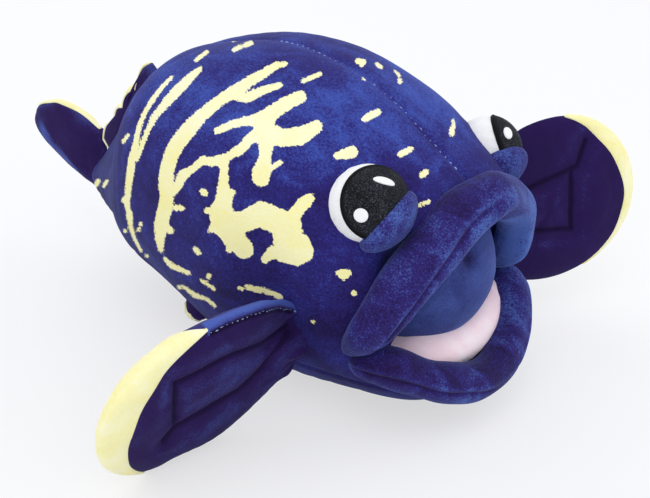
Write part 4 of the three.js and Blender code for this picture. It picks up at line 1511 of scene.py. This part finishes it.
def paddle(
    span: float, height: float, foot: float, shoulder: float, lean: float, crest: float = 0.26
) -> Array:
    """Outline of a paddle fin: a straight root, then a round blade.

    Four cubic curves run up to the top, round the tip and back along the bottom. Their handles are
    shares of the span and of half the height.

    Args:
        span: length of the blade.
        height: its height.
        foot: height of the root below the middle.
        shoulder: height of the root above it.
        lean: how high the blade's middle lies.
        crest: how soon the upper edge reaches its full height, as a share of the span.

    Returns:
        (n, 2) points: along the blade, across it.
    """
    h = height / 2
    near, fullest, full_end, tip_round = 0.1 * span, 0.52 * span, 0.82 * span, 0.55 * h
    rise = shoulder + 0.7 * (lean + h - shoulder)
    fall = -foot + 0.42 * (lean - h + foot)
    top, tip, bottom = (fullest, h + lean), (span, lean), (fullest, lean - h)
    return np.vstack([
        straight_root(-foot, shoulder),
        bezier((-TUCK, shoulder), (near, rise), (crest * span, h + lean), top),
        bezier(top, (full_end, h + lean), (span, tip_round + lean), tip),
        bezier(tip, (span, lean - tip_round), (full_end, lean - h), bottom),
        bezier(bottom, (0.26 * span, lean - h), (near, fall), (-TUCK, -foot)),
    ])


def leaf(nodes: tuple, foot: float, shoulder: float) -> Array:
    """Outline of a fin with a straight root and a smooth curve through nodes.

    Args:
        nodes: places along the blade and across it, from the top of the root round to its foot.
        foot: lower end of the root.
        shoulder: upper end of the root.

    Returns:
        (n, 2) points: along the blade, across it.
    """
    ends = np.array([(-TUCK, shoulder), *nodes, (-TUCK, foot)])
    blade = spline(ends, np.linspace(0, 1, BLADE_POINTS, endpoint=False))
    return np.vstack([straight_root(foot, shoulder), blade])


def scalloped(length: float, height: float, lobes: int, depth: float, taper: float) -> Array:
    """Outline of the low fin on the back: a straight root and round lobes that sink towards the tail.

    Args:
        length: length of the root.
        height: height of the first lobes.
        lobes: how many there are.
        depth: how deep the notches between them go.
        taper: share of the height that is lost towards the tail.

    Returns:
        (n, 2) points: up the fin, along it.
    """
    share = np.linspace(0.01, 0.99, BLADE_POINTS)
    lobe = depth * np.abs(np.sin(np.pi * lobes * share))
    crest = height - depth - taper * height * share
    blade = np.stack([crest + lobe, length * (0.5 - share)], -1)
    return np.vstack([straight_root(-length / 2, length / 2, whole=True), blade])


def profile(nodes: tuple, share: Array) -> Array:
    """Runs a smooth line through nodes: a cubic between each two, with the slope of their neighbours.

    Args:
        nodes: (place, value) pairs in order.
        share: places to read.

    Returns:
        Values there.
    """
    places, values = np.array(nodes, float).T
    slopes = np.gradient(values, places)
    i = np.clip(np.searchsorted(places, share, side="right") - 1, 0, len(places) - 2)
    gap = places[i + 1] - places[i]
    w = np.clip((share - places[i]) / gap, 0, 1)
    bend = w * (1 - w) * gap * ((1 - w) * slopes[i] - w * slopes[i + 1])
    return values[i] + (values[i + 1] - values[i]) * w * w * (3 - 2 * w) + bend


# Widths of a strip along its length: a narrow one, and an even one that closes at its ends
THIN_STRIP = ((0, 0.6), (0.5, 1.6), (1, 0.6))
EVEN_STRIP = ((0, 1), (0.2, 4.5), (0.8, 4.5), (1, 1))


@dataclass
class Border:
    """A strip of fabric wrapped over part of a fin's rim."""

    # Where it starts and ends, as shares of the rim
    start: float
    end: float
    # Width on the front and on the back, mm, as (share of the strip, width)
    front: tuple
    back: tuple
    # How much later than its front the back of the strip starts, as a share of the rim
    slant: float = 0.0
    # Greatest width as a share of the way to the fin's middle
    widest: float = 0.8
    # How deep its turned edges and its under side lie in the fin, its thickness and flatness
    tucked: float = 0.9
    under: float = 1.4
    thick: float = 1.8
    flatness: int = 8
    # Rings over which an end rounds off
    end_rings: int = 5
    fill: float = 0.5
    steps: int = 220
    across: int = 41


@dataclass
class Fin:
    """A stuffed fin: a pillow with a knife edge, and a border sewn round part of its rim."""

    name: str
    at: Array
    turn: Array
    outline: Array
    # Thickest place of the blade: along it, across it
    middle: Pair
    # Height of the stuffing on the front and on the back
    bulge: Pair
    border: Border
    # Sign of the way that the blade points from its root
    side: int = 1
    edge: float = 2.0
    # Powers that shape the stuffing's rise from the rim
    pillow: Pair = (2.2, 0.55)
    quilting: list = field(default_factory=list)
    quilt_melt: float = 0.5
    # Depth and width of the soft hollow along a quilting line, then of the crease in it
    hollow: Pair = (1.8, 7.0)
    crease: Pair = (1.8, 1.0)
    # Puckers at the root: height, wavelength, how they are drawn out, place and reach
    pucker: float = 0.0
    pucker_length: float = 8.5
    pucker_drawn: Triple = (0.22, 0.0, 1.0)
    pucker_reach: Pair = (4.0, 20.0)
    # Height and wavelength of the uneven stuffing
    lump: Pair = (0.7, 26.0)
    # Depths from the rim over which quilting, puckers and lumps set in
    quilt_in: float = 0.3
    pucker_in: float = 0.25
    lump_in: float = 0.4
    # Share of the stuffing's height that a mark may take away
    most_sunk: float = 0.75
    # How the top of the root is drawn back: how far and how far out, over which heights, which way
    drawn_in: Pair = (0.0, 1.0)
    drawn_top: Pair = (-8.0, 12.0)
    drawn_way: Triple = (0.0, 1.0, -0.95)
    # Height above the floor at which a tip starts to flatten
    rest_ease: float = 4.0
    # Part of the rim whose seam shows, and the fade of its ends, as shares of the rim
    open_seam: Pair | None = None
    seam_fade: Pair = (0.02, 0.01)
    # Distance that a shut seam counts as
    shut_seam: float = 30.0
    # Where the seam lies between rim and middle, as a depth; its sink and width, mm
    seam: Triple = (0.2, 1.4, 1.2)
    # Strip brushed up beside the seam: middle and width, mm, and rise as a share of the sink
    brushed: Pair = (4.4, 3.2)
    brushed_rise: float = 0.7
    stitched: bool = False
    stitch: StitchRow = field(
        default_factory=lambda: StitchRow(length=1.8, pitch=3.1, thick=0.24, sink=0.8, seed=31))
    # How far outside the seam the stitches lie, as a depth
    stitch_out: float = 0.03
    stitch_points: int = 160
    stuffed: bool = False
    stuffing: Stuffing = Stuffing(1.8, 160.0)
    # Held fabric: past the border's ends and down to a depth, near root, quilting and seam, at the rim
    held_border: Pair = (0.02, 0.5)
    held_root: float = 8.0
    held_quilt: float = 1.2
    held_seam: float = 2.0
    held_rim: float = 0.06
    # Painted light and shade: all over, a painted highlight near the rim, painted shade in the seam, a
    # painted highlight on its strip, a painted highlight beside the quilting and painted shade in it
    # Painted light added all over, negative for painted shade
    overall_painted_light: float = 0.0
    rim_painted_highlight: Ridge = Ridge(0.2, -0.16, 0.2)
    seam_painted_shade: Ridge = Ridge(0.8, 0.0, 1.3)
    strip_painted_highlight: float = 0.5
    beside_quilt_painted_highlight: Ridge = Ridge(0.12, 7.0, 4.0)
    quilt_painted_shade: Ridge = Ridge(0.6, 0.0, 1.2)
    # Part of the rim, and depth on the stuffing's slope, where the pile catches the light
    gleam: Triple | None = None
    gleam_fade: float = 0.06
    gleam_width: float = 0.2
    gleam_nap: float = 0.42
    # Two distances from the root, mm
    bend: Pair = (2.0, 16.0)
    # Depth of the last ring on each face, and steps along the rim and in depth that measure slopes
    last_ring: float = 0.985
    rim_step: float = 0.5
    depth_step: float = 0.01
    rim_points: int = 420
    rows: int = 76
    seed: int = 31
    fill: float = 0.7

    def at_rim(self, place: Array) -> Array:
        """Points of the rim at any places, counted in even rim points from the foot of the root."""
        rim = evenly(self.outline, self.rim_points, closed=True) * (self.side, 1)
        wrapped = np.mod(place, self.rim_points)
        return read_along(wrapped, np.arange(self.rim_points + 1), np.vstack([rim, rim[:1]]))

    def centre(self) -> Array:
        """Thickest place of the blade."""
        return np.array(self.middle) * (self.side, 1)

    def core(self) -> Array:
        """Middle of the pillow in the fin's own frame."""
        along, across = self.centre()
        return np.array([along, 0.0, across])

    def local(self, place: Array, depth: Array) -> Array:
        """Points of the pillow in the fin's own frame.

        A ray from the fin's middle to the rim carries each point, and the stuffing lifts it by a power
        of what is left to the rim, so the two faces meet round at the rim.

        Args:
            place: places round the rim, counted in rim points.
            depth: 1 at the middle of the front face, 0 on the rim, -1 at the middle of the back.

        Returns:
            Points: along the blade, out of the back, across.
        """
        share = np.cos(depth * np.pi / 2)
        flat = self.centre() + (self.at_rim(place) - self.centre()) * share[..., None]
        bulge = np.where(depth > 0, self.bulge[0], self.bulge[1])
        rise, power = self.pillow
        height = (bulge + self.edge) * np.clip(1 - share**rise, 0, 1) ** power
        return np.stack([flat[..., 0], -np.sign(depth) * height, flat[..., 1]], -1)

    def placed(self, points: Array) -> Array:
        """Places the fin: the top of its root is drawn back, and a low tip eases flat onto the floor.

        Args:
            points: (..., 3) points of the fin's own frame.

        Returns:
            The points in the fish's frame.
        """
        back, reach = self.drawn_in
        share = hill(points[..., 0], reach) * smooth(*self.drawn_top, points[..., 2])
        laid = self.at + (points + back * share[..., None] * self.drawn_way) @ self.turn.T
        low = np.minimum(laid[..., 2] / self.rest_ease - 1, 0)
        laid[..., 2] = np.where(low < 0, self.rest_ease * np.exp(low), laid[..., 2])
        return laid

    def seam_off(self, place: Array, depth: Array) -> Array:
        """Distance of each point from the seam along the rim, far away where the seam does not show.

        Args:
            place: places round the rim, counted in rim points.
            depth: 1 front to -1 back.

        Returns:
            Distances, mm.
        """
        if self.open_seam is None:
            return np.full(depth.shape, FAR)
        share = place / self.rim_points
        start, end = self.open_seam
        before, after = self.seam_fade
        opened = smooth(start - before, start + before, share) * smooth(end + after, end - after, share)
        line = self.local(place, np.full(depth.shape, self.seam[0]))
        return np.linalg.norm(self.local(place, depth) - line, axis=-1) + self.shut_seam * (1 - opened)

    def quilt(self, place: Array, depth: Array) -> Array:
        """Distance of each point from the nearest quilting line; the lines go through both faces.

        Args:
            place: places round the rim, counted in rim points.
            depth: 1 front to -1 back.

        Returns:
            Distances, mm.
        """
        if not self.quilting:
            return np.full(depth.shape, FAR)
        front = VIEW.pixels(self.placed(self.local(place, np.abs(depth)))).reshape(-1, 2)
        inside = stroke_depth(front, self.quilting, self.quilt_melt).reshape(depth.shape)
        return np.maximum(-inside, 0) * POINT

    def strip(self, off: Array, depth: Array) -> Array:
        """How far each point lies on the strip between the seam and the rim, 0 to 1."""
        outside = (self.seam[0] - depth) * np.sign(self.seam[0]) > 0
        return outside * hill(off - self.brushed[0], self.brushed[1])

    def gleaming(self, place: Array, depth: Array) -> Array:
        """How far each point lies on the light strip along the slope of the stuffing.

        Args:
            place: places round the rim, counted in rim points.
            depth: 1 front to -1 back.

        Returns:
            Shares, 0 to 1.
        """
        if self.gleam is None:
            return np.zeros(depth.shape)
        start, end, middle = self.gleam
        share = place / self.rim_points
        ends = smooth(start, start + self.gleam_fade, share) * smooth(end, end - self.gleam_fade, share)
        return ends * hill(depth - middle, self.gleam_width)

    def shaped(self, place: Array, depth: Array) -> Array:
        """The pillow in the fish's frame with its quilting, puckers and uneven stuffing.

        Args:
            place: places round the rim, counted in rim points.
            depth: 1 front to -1 back.

        Returns:
            Points, mm.
        """
        points = self.local(place, depth)
        along = self.local(place + self.rim_step, depth) - self.local(place - self.rim_step, depth)
        ahead, behind = (np.clip(depth + way * self.depth_step, -1, 1) for way in (1, -1))
        over = self.local(place, ahead) - self.local(place, behind)
        normals = facing(unit(np.cross(along, over)), points - self.core())
        from_rim = np.abs(depth)
        off, free = self.quilt(place, depth), smooth(0, self.quilt_in, from_rim)
        sink = free * self.hollow[0] * hill(off, self.hollow[1])
        sink += free * self.crease[0] * hill(off, self.crease[1])
        near_root = hill(np.abs(points[..., 0]) - self.pucker_reach[0], self.pucker_reach[1])
        folds = Lumps(self.seed + 1, self.pucker_length).at(points * self.pucker_drawn)
        sink += self.pucker * folds * near_root * smooth(0, self.pucker_in, from_rim)
        sink -= self.lump[0] * Lumps(self.seed, self.lump[1]).at(points) * smooth(0, self.lump_in, from_rim)
        sink = np.minimum(sink, self.most_sunk * np.abs(points[..., 1]))
        off = self.seam_off(place, depth)
        sink += self.seam[1] * (hill(off, self.seam[2]) - self.brushed_rise * self.strip(off, depth))
        return self.placed(points - sink[..., None] * normals)

    def held(self, place: Array, depth: Array, off: Array, edge: Array) -> Array:
        """True where border, root, quilting, seam or rim hold the fabric.

        Args:
            place: places round the rim, counted in rim points.
            depth: 1 front to -1 back.
            off: distance from the quilting, mm.
            edge: distance from the seam along the rim, mm.

        Returns:
            True for each point that does not move.
        """
        share = place / self.rim_points
        past, deep = self.held_border
        bound = (share > self.border.start - past) & (share < self.border.end + past)
        bound &= np.abs(depth) < deep
        root = np.abs(self.local(place, depth)[..., 0]) < self.held_root
        sewn = (off < self.held_quilt) | (edge < self.held_seam)
        return bound | root | sewn | (np.abs(depth) < self.held_rim)

    def build(self, fabrics: Fabrics, body: str) -> None:
        """Makes the pillow and its border.

        Args:
            fabrics: the toy's fabrics.
            body: CAD body of the fin.
        """
        lean = np.linspace(self.last_ring, -self.last_ring, 2 * self.rows + 1)
        place, depth = np.meshgrid(np.arange(self.rim_points, dtype=float), lean)
        grid = self.shaped(place, depth)
        off = self.quilt(place, depth)
        edge = self.seam_off(place, depth)
        if self.stuffed:
            grid = self.stuffing.swell(grid, self.held(place, depth, off, edge))
        # Painted light and shade: highlights near the rim, on the strip and beside the quilting, shade in
        # the seam and in the quilting
        painted_light_and_tone = self.rim_painted_highlight.at(depth) - self.seam_painted_shade.at(edge)
        gleam = self.gleam_nap * self.gleaming(place, depth)
        painted_light_and_tone += self.overall_painted_light + self.strip_painted_highlight * self.strip(edge, depth) + gleam
        painted_light_and_tone += self.beside_quilt_painted_highlight.at(off) - self.quilt_painted_shade.at(off)
        faces = add_mesh(f"{self.name}_fin", tube(grid), fabrics.knit, {"painted_light_and_tone": with_poles(painted_light_and_tone, 0)})
        nodes = [f"{self.name}_front_face", f"{self.name}_back_face"]
        if f"{self.name}_wadding" in frame["nodes"]:
            nodes.append(f"{self.name}_wadding")
        dress(tuple(nodes))
        out = self.placed(np.array([[0.0, 0.0, 0.0], [float(self.side), 0.0, 0.0]]))
        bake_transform(faces)
        if self.stitched:
            thread = add_mesh(f"{self.name}_fin_stitches", self.stitches(), fabrics.thread)
            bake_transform(thread)
        self.build_border(fabrics, body)

    def stitches(self) -> Surface:
        """Short stitches that lie across the seam along the rim."""
        place = np.linspace(*self.open_seam, self.stitch_points) * self.rim_points
        depth = np.full(len(place), self.seam[0] - self.stitch_out * np.sign(self.seam[0]))
        line = self.shaped(place, depth)
        along = self.shaped(place + self.rim_step, depth) - self.shaped(place - self.rim_step, depth)
        over = self.shaped(place, depth + self.depth_step) - self.shaped(place, depth - self.depth_step)
        normals = facing(unit(np.cross(along, over)), line - self.placed(self.core()))
        return self.stitch.surface(line, normals)

    def build_border(self, fabrics: Fabrics, body: str) -> None:
        """Makes the border: a strip of fabric wrapped over the rim, its edges turned under.

        Args:
            fabrics: the toy's fabrics.
            body: CAD body of the fin.
        """
        strip = self.border
        share = np.linspace(0, 1, strip.steps)[:, None]
        u = np.linspace(1, -1, strip.across)[None]
        start = strip.start + strip.slant * np.maximum(-u, 0)
        place = (start + (strip.end - start) * share) * self.rim_points
        reach = np.linalg.norm(self.at_rim(place[:, strip.across // 2]) - self.centre(), axis=-1)
        widths = (profile(nodes, share[:, 0]) for nodes in (strip.front, strip.back))
        left = (1 - np.clip(width / reach, 0, strip.widest) for width in widths)
        front, back = (np.arccos(cosine)[:, None] * 2 / np.pi for cosine in left)
        depth = np.where(u > 0, u * front, u * back)
        base = self.shaped(place, depth)
        normals = unit(np.cross(np.gradient(base, axis=0), np.gradient(base, axis=1)))
        normals = facing(normals, base - self.placed(self.core()))
        ends = np.clip(np.minimum(share, 1 - share) * strip.steps / strip.end_rings, 0, 1)
        arch = np.sqrt(np.clip(1 - np.abs(u) ** strip.flatness, 0, 1))
        lift = -strip.tucked + strip.thick * arch * np.sqrt(ends * (2 - ends))
        outer = base + lift[..., None] * normals
        inner = base - strip.under * normals
        rings = np.concatenate([outer, inner[:, ::-1]], axis=1)
        piece = add_mesh(f"{self.name}_fin_border", tube(rings), fabrics.yellow)
        dress((f"{self.name}_border",))
        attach(piece, body)


# The whole toy and its studio


@dataclass
class Grouper:
    """The toy, put together."""

    body: Body = field(default_factory=Body)
    # Places along the body and angles round it on the left side, degrees
    eye_station: float = -73.0
    eye_angle: float = 46.0
    pectoral_station: float = -47.0
    pectoral_angle: float = -12.0
    pelvic_station: float = 70.0
    pelvic_angle: float = -55.0
    # How far the eyes stand out; the left one is sewn on a little lower
    eye_rise: float = 0.7
    eye_sag: float = 3.5
    # Ends of the fin on the back along the body, and how far it stands to the right
    dorsal: Pair = (135.0, 196.5)
    dorsal_aside: float = 3.0
    # Reach and depth of the dent that a pectoral root makes in the skin
    root_dent: Pair = (16.0, 2.5)
    # Half width of a quilting line, picture points
    quilt_line: float = 0.1
    # Ends of the stitched part of the back seam along the body, and how deep its stitches lie
    back_stitches: Pair = (-92.0, 40.0)
    back_stitch_sink: float = 0.9
    back_stitch_points: int = 200

    def pectorals(self) -> list[Fin]:
        """The two large fins behind the mouth; their quilting lines are places in the photograph."""
        turns = {Side.RIGHT: (-10.1, -4.2, 21.6), Side.LEFT: (-34.4, -21.7, -5.0)}
        outlines = {Side.RIGHT: paddle(118.8, 104.7, 19, 12.5, -10.3),
                    Side.LEFT: paddle(119, 106, 20, 11, -5, 0.44)}
        quilts = {
            Side.RIGHT: [[(177, 386), (200, 375), (235, 357), (264, 346), (290, 327)],
                         [(177, 386), (177, 431), (165, 445)],
                         [(177, 431), (206, 414), (240, 393), (267, 370), (290, 333)]],
            Side.LEFT: [[(528, 190), (578, 167), (587, 140)], [(572, 169), (572, 230)],
                        [(536, 232), (572, 230)]],
        }
        borders = {
            Side.RIGHT: Border(
                0.305, 0.69,
                ((0, 0.4), (0.14, 5.6), (0.29, 12.5), (0.47, 16.5), (0.7, 13.5), (0.87, 6.6), (1, 0.5)),
                ((0, 18), (0.3, 22), (0.6, 22), (1, 3)), slant=0.06),
            Side.LEFT: Border(
                0.375, 0.76,
                ((0, 0.5), (0.11, 5.0), (0.22, 9.6), (0.34, 10.8), (0.55, 8.4), (0.7, 6), (0.86, 3),
                 (1, 0.6)),
                ((0, 12), (0.3, 18), (0.7, 16), (1, 3)), slant=0.02),
        }
        bulges = {Side.RIGHT: (5.4, 17.0), Side.LEFT: (7.0, 17.0)}
        # Only the right one shows a drawn-in root and an open seam; the left one lies in shade, painted
        # darker all over
        looks = {Side.RIGHT: {"drawn_in": (9.0, 26.0), "open_seam": (0.1, 0.313), "stitched": True},
                 Side.LEFT: {"overall_painted_light": -0.06}}
        fins = []
        for side in Side:
            at, _ = self.body.seat(self.pectoral_station, side.degrees(self.pectoral_angle))
            quilting = [[(*place, self.quilt_line) for place in line] for line in quilts[side]]
            fins.append(Fin(
                f"{side.word}_pectoral", at, turned(*turns[side]), outlines[side], (59, -5.5), bulges[side],
                borders[side], side=side, quilting=quilting, pucker=1.5, stuffed=True, **looks[side]))
        return fins

    def tail_fin(self) -> Fin:
        """The tail, upright behind the stump of the body."""
        along, back, belly, _ = self.body.sections[-1]
        outline = leaf((
            (15, 41), (38, 43.9), (51, 41.5), (66, 35.5), (73.5, 25.7), (71.5, 17.5), (63, 10), (54, 5),
            (42, -1.5), (30, -7), (10.7, -12.5)), -17, 30)
        return Fin(
            "tail", np.array([0, along, (back + belly) / 2]), turned(90, 0, 0), outline, (37, 15),
            (7.0, 7.0), Border(0.22, 0.54, EVEN_STRIP, THIN_STRIP), pucker=0.7, stuffed=True,
            gleam=(0.52, 0.98, -0.7), bend=(-4.0, 12.0), rim_points=260, rows=40, seed=37)

    def dorsal_fin(self) -> Fin:
        """The low fin on the rear of the back, which follows its slope."""
        front, rear = (self.body.section(np.array([self.body.at(y)]))[0, :2] for y in self.dorsal)
        slope = math.atan2(front[1] - rear[1], rear[0] - front[0])
        outline = scalloped(float(np.hypot(*(front - rear))), 12.5, 4, 4.4, 0.26)
        return Fin(
            "dorsal", np.array([-self.dorsal_aside, *((front + rear) / 2)]),
            turned(90, math.degrees(slope) - 90, 0), outline, (3.5, 0), (2.0, 3.6),
            Border(0.5, 0.98, EVEN_STRIP, EVEN_STRIP), bend=(-3.0, 5.0), rim_points=240, rows=26, seed=41,
            fill=0.4)

    def pelvic_fins(self) -> list[Fin]:
        """The two small fins under the belly."""
        fins = []
        for side in Side:
            at, _ = self.body.seat(self.pelvic_station, side.degrees(self.pelvic_angle))
            fins.append(Fin(
                f"{side.word}_pelvic", at, turned(-side * 45, side * 73.7, -133.8),
                paddle(11.5, 19, 7.5, 7.5, 0), (5.5, 0), (2.5, 2.5),
                Border(0.36, 0.64, EVEN_STRIP, EVEN_STRIP), side=side, bend=(-3.0, 6.0), rim_points=120,
                rows=20, seed=43, fill=0.4))
        return fins

    def stitches(self, fabrics: Fabrics) -> None:
        """Makes the pale stitches along the back seam of the head and shoulders.

        Args:
            fabrics: the toy's fabrics.
        """
        places = np.linspace(*self.back_stitches, self.back_stitch_points)
        t = np.array([self.body.at(y) for y in places])
        line = self.body.point(t, np.full(len(t), np.pi / 2))
        normals = unit(np.cross(unit(np.gradient(line, axis=0)), (1.0, 0.0, 0.0)))
        normals *= np.sign(normals[:, 2:])
        line = line - self.back_stitch_sink * normals
        piece = add_mesh("back_seam_stitches", StitchRow().surface(line, normals), fabrics.thread)
        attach(piece, "body")

    @staticmethod
    def mouth(fabrics: Fabrics) -> None:
        """Makes the lips, the roof of the mouth and the tongue.

        Args:
            fabrics: the toy's fabrics.
        """
        # The left half of the upper roll is drawn in closer than the right one, as it is in the photograph
        Lip("upper_lip_roll", (
            (-67, -70, 54, 5), (-69.2, -87, 75.4, 9.8), (-53, -97.5, 101.6, 12.2), (-23.6, -103, 121.7, 14),
            (0, -108.9, 131.2, 11.5), (23, -104, 121.2, 12.2), (41.5, -101.5, 108.5, 11.7),
            (50, -98.5, 95, 11), (53, -95, 81, 10.5), (60, -83, 67, 8), (67, -70, 54, 5)),
            seam=(14.0, 32.0), fan=72.0, left_seam=0.0, inner_swell=2.4).build(fabrics)
        lower = ((66, -71, 48, 5), (59.3, -92, 49.6, 11), (33, -110, 34.5, 11.5), (0, -117.3, 27, 11))
        mirrored = tuple((-x, y, z, radius) for x, y, z, radius in lower)
        Lip("lower_lip_roll", mirrored + lower[-2::-1], seam=(14.0, 8.0), painted_light_and_tone=(-0.14, 0.04, 0.34),
            seed=7).build(fabrics)
        Pad("mouth_roof", "palate_pad", (50, 65.5, 54.5), (-2.4, -46.2, 82), 0.8,
            dimple=(470, 258)).build(fabrics.velour, Slot.NAVY, 0.15)
        Pad("tongue", "tongue_pad", (54, 33, 15), (-1, -78, 40), 0.6,
            curl=(3, 14)).build(fabrics.pink, Slot.PINK, 0.25)

    def eyes(self, fabrics: Fabrics) -> None:
        """Makes both eyes on the head.

        Args:
            fabrics: the toy's fabrics.
        """
        for side in Side:
            at, normal = self.body.seat(self.eye_station, side.degrees(self.eye_angle))
            sag = self.eye_sag * (side is Side.LEFT)
            Eye(side, at + self.eye_rise * normal - (0, 0, sag)).build(fabrics)

    def build(self) -> None:
        """Makes every piece."""
        fabrics = Fabrics()
        pectorals = self.pectorals()
        self.body.build(fabrics, [(fin.at, *self.root_dent) for fin in pectorals])
        self.stitches(fabrics)
        self.mouth(fabrics)
        self.eyes(fabrics)
        for fin in [*pectorals, self.tail_fin(), self.dorsal_fin(), *self.pelvic_fins()]:
            fin.build(fabrics, fin.name)


@dataclass(frozen=True)
class Lamp:
    """A square soft lamp that faces the toy: place and side in metres, power in watts."""

    name: str
    place: Triple
    power: float
    side: float
    aim: Triple = (0.0, 0.0, 0.08)

    def build(self) -> None:
        """Makes the lamp."""
        data = bpy.data.lights.new(self.name, "AREA")
        data.energy, data.size = self.power, self.side
        lamp = bpy.data.objects.new(self.name, data)
        bpy.context.scene.collection.objects.link(lamp)
        lamp.location = self.place
        lamp.rotation_mode = "QUATERNION"
        lamp.rotation_quaternion = (Vector(self.aim) - Vector(self.place)).to_track_quat("-Z", "Y")


@dataclass(frozen=True)
class Studio:
    """Pale floor and soft light."""

    floor_colour: str = "#f4f4f6"
    # Half the floor's side, metres
    floor_half: float = 6.0
    # Share of plain white that the camera sees on the floor
    white_share: float = 0.6
    sky_colour: str = "#f3f5fb"
    sky: float = 0.98
    lamps: tuple[Lamp, ...] = (
        Lamp("key", (-0.7, -0.5, 1.3), 3.5, 0.9),
        Lamp("fill", (0.9, -1.0, 0.9), 1.7, 1.2),
        Lamp("rim", (0.6, 0.9, 1.0), 1.6, 1.0),
    )

    def paper(self) -> Material:
        """White backdrop paper: it glows part white to the camera alone and keeps its soft shadow."""
        paper = bpy.data.materials.new("white_paper")
        paper.use_nodes = True
        tree = paper.node_tree
        tree.nodes.clear()
        matt = add_node(tree, "ShaderNodeBsdfDiffuse", {"Color": linear(self.floor_colour)})
        white = add_node(tree, "ShaderNodeEmission", {"Strength": 1.0})
        ray = add_node(tree, "ShaderNodeLightPath")
        seen = ray.outputs["Is Camera Ray"]
        for kind in ("Is Glossy Ray", "Is Transmission Ray"):
            both = add_node(tree, "ShaderNodeMath", {0: seen, 1: ray.outputs[kind]}, operation="MAXIMUM")
            seen = both.outputs[0]
        share = add_node(tree, "ShaderNodeMath", {0: seen, 1: self.white_share}, operation="MULTIPLY")
        mixed = add_node(tree, "ShaderNodeMixShader", {
            0: share.outputs[0], 1: matt.outputs[0], 2: white.outputs[0]})
        add_node(tree, "ShaderNodeOutputMaterial", {"Surface": mixed.outputs[0]})
        return paper

    def build(self) -> None:
        """Makes the floor, the lamps and the sky."""
        mesh = bpy.data.meshes.new("floor")
        h = self.floor_half
        mesh.from_pydata([(-h, -h, 0), (h, -h, 0), (h, h, 0), (-h, h, 0)], [], [(0, 1, 2, 3)])
        floor = bpy.data.objects.new("floor", mesh)
        bpy.context.scene.collection.objects.link(floor)
        mesh.materials.append(self.paper())
        for lamp in self.lamps:
            lamp.build()
        sky = bpy.data.worlds.new("studio")
        sky.use_nodes = True
        back = sky.node_tree.nodes["Background"]
        back.inputs["Color"].default_value = linear(self.sky_colour)
        back.inputs["Strength"].default_value = self.sky
        bpy.context.scene.world = sky
        bpy.context.scene.view_settings.view_transform = "Standard"


def main() -> None:
    """Builds the toy, its studio and the camera."""
    Grouper().build()
    Studio().build()
    VIEW.build()


if __name__ == "__main__":
    main()
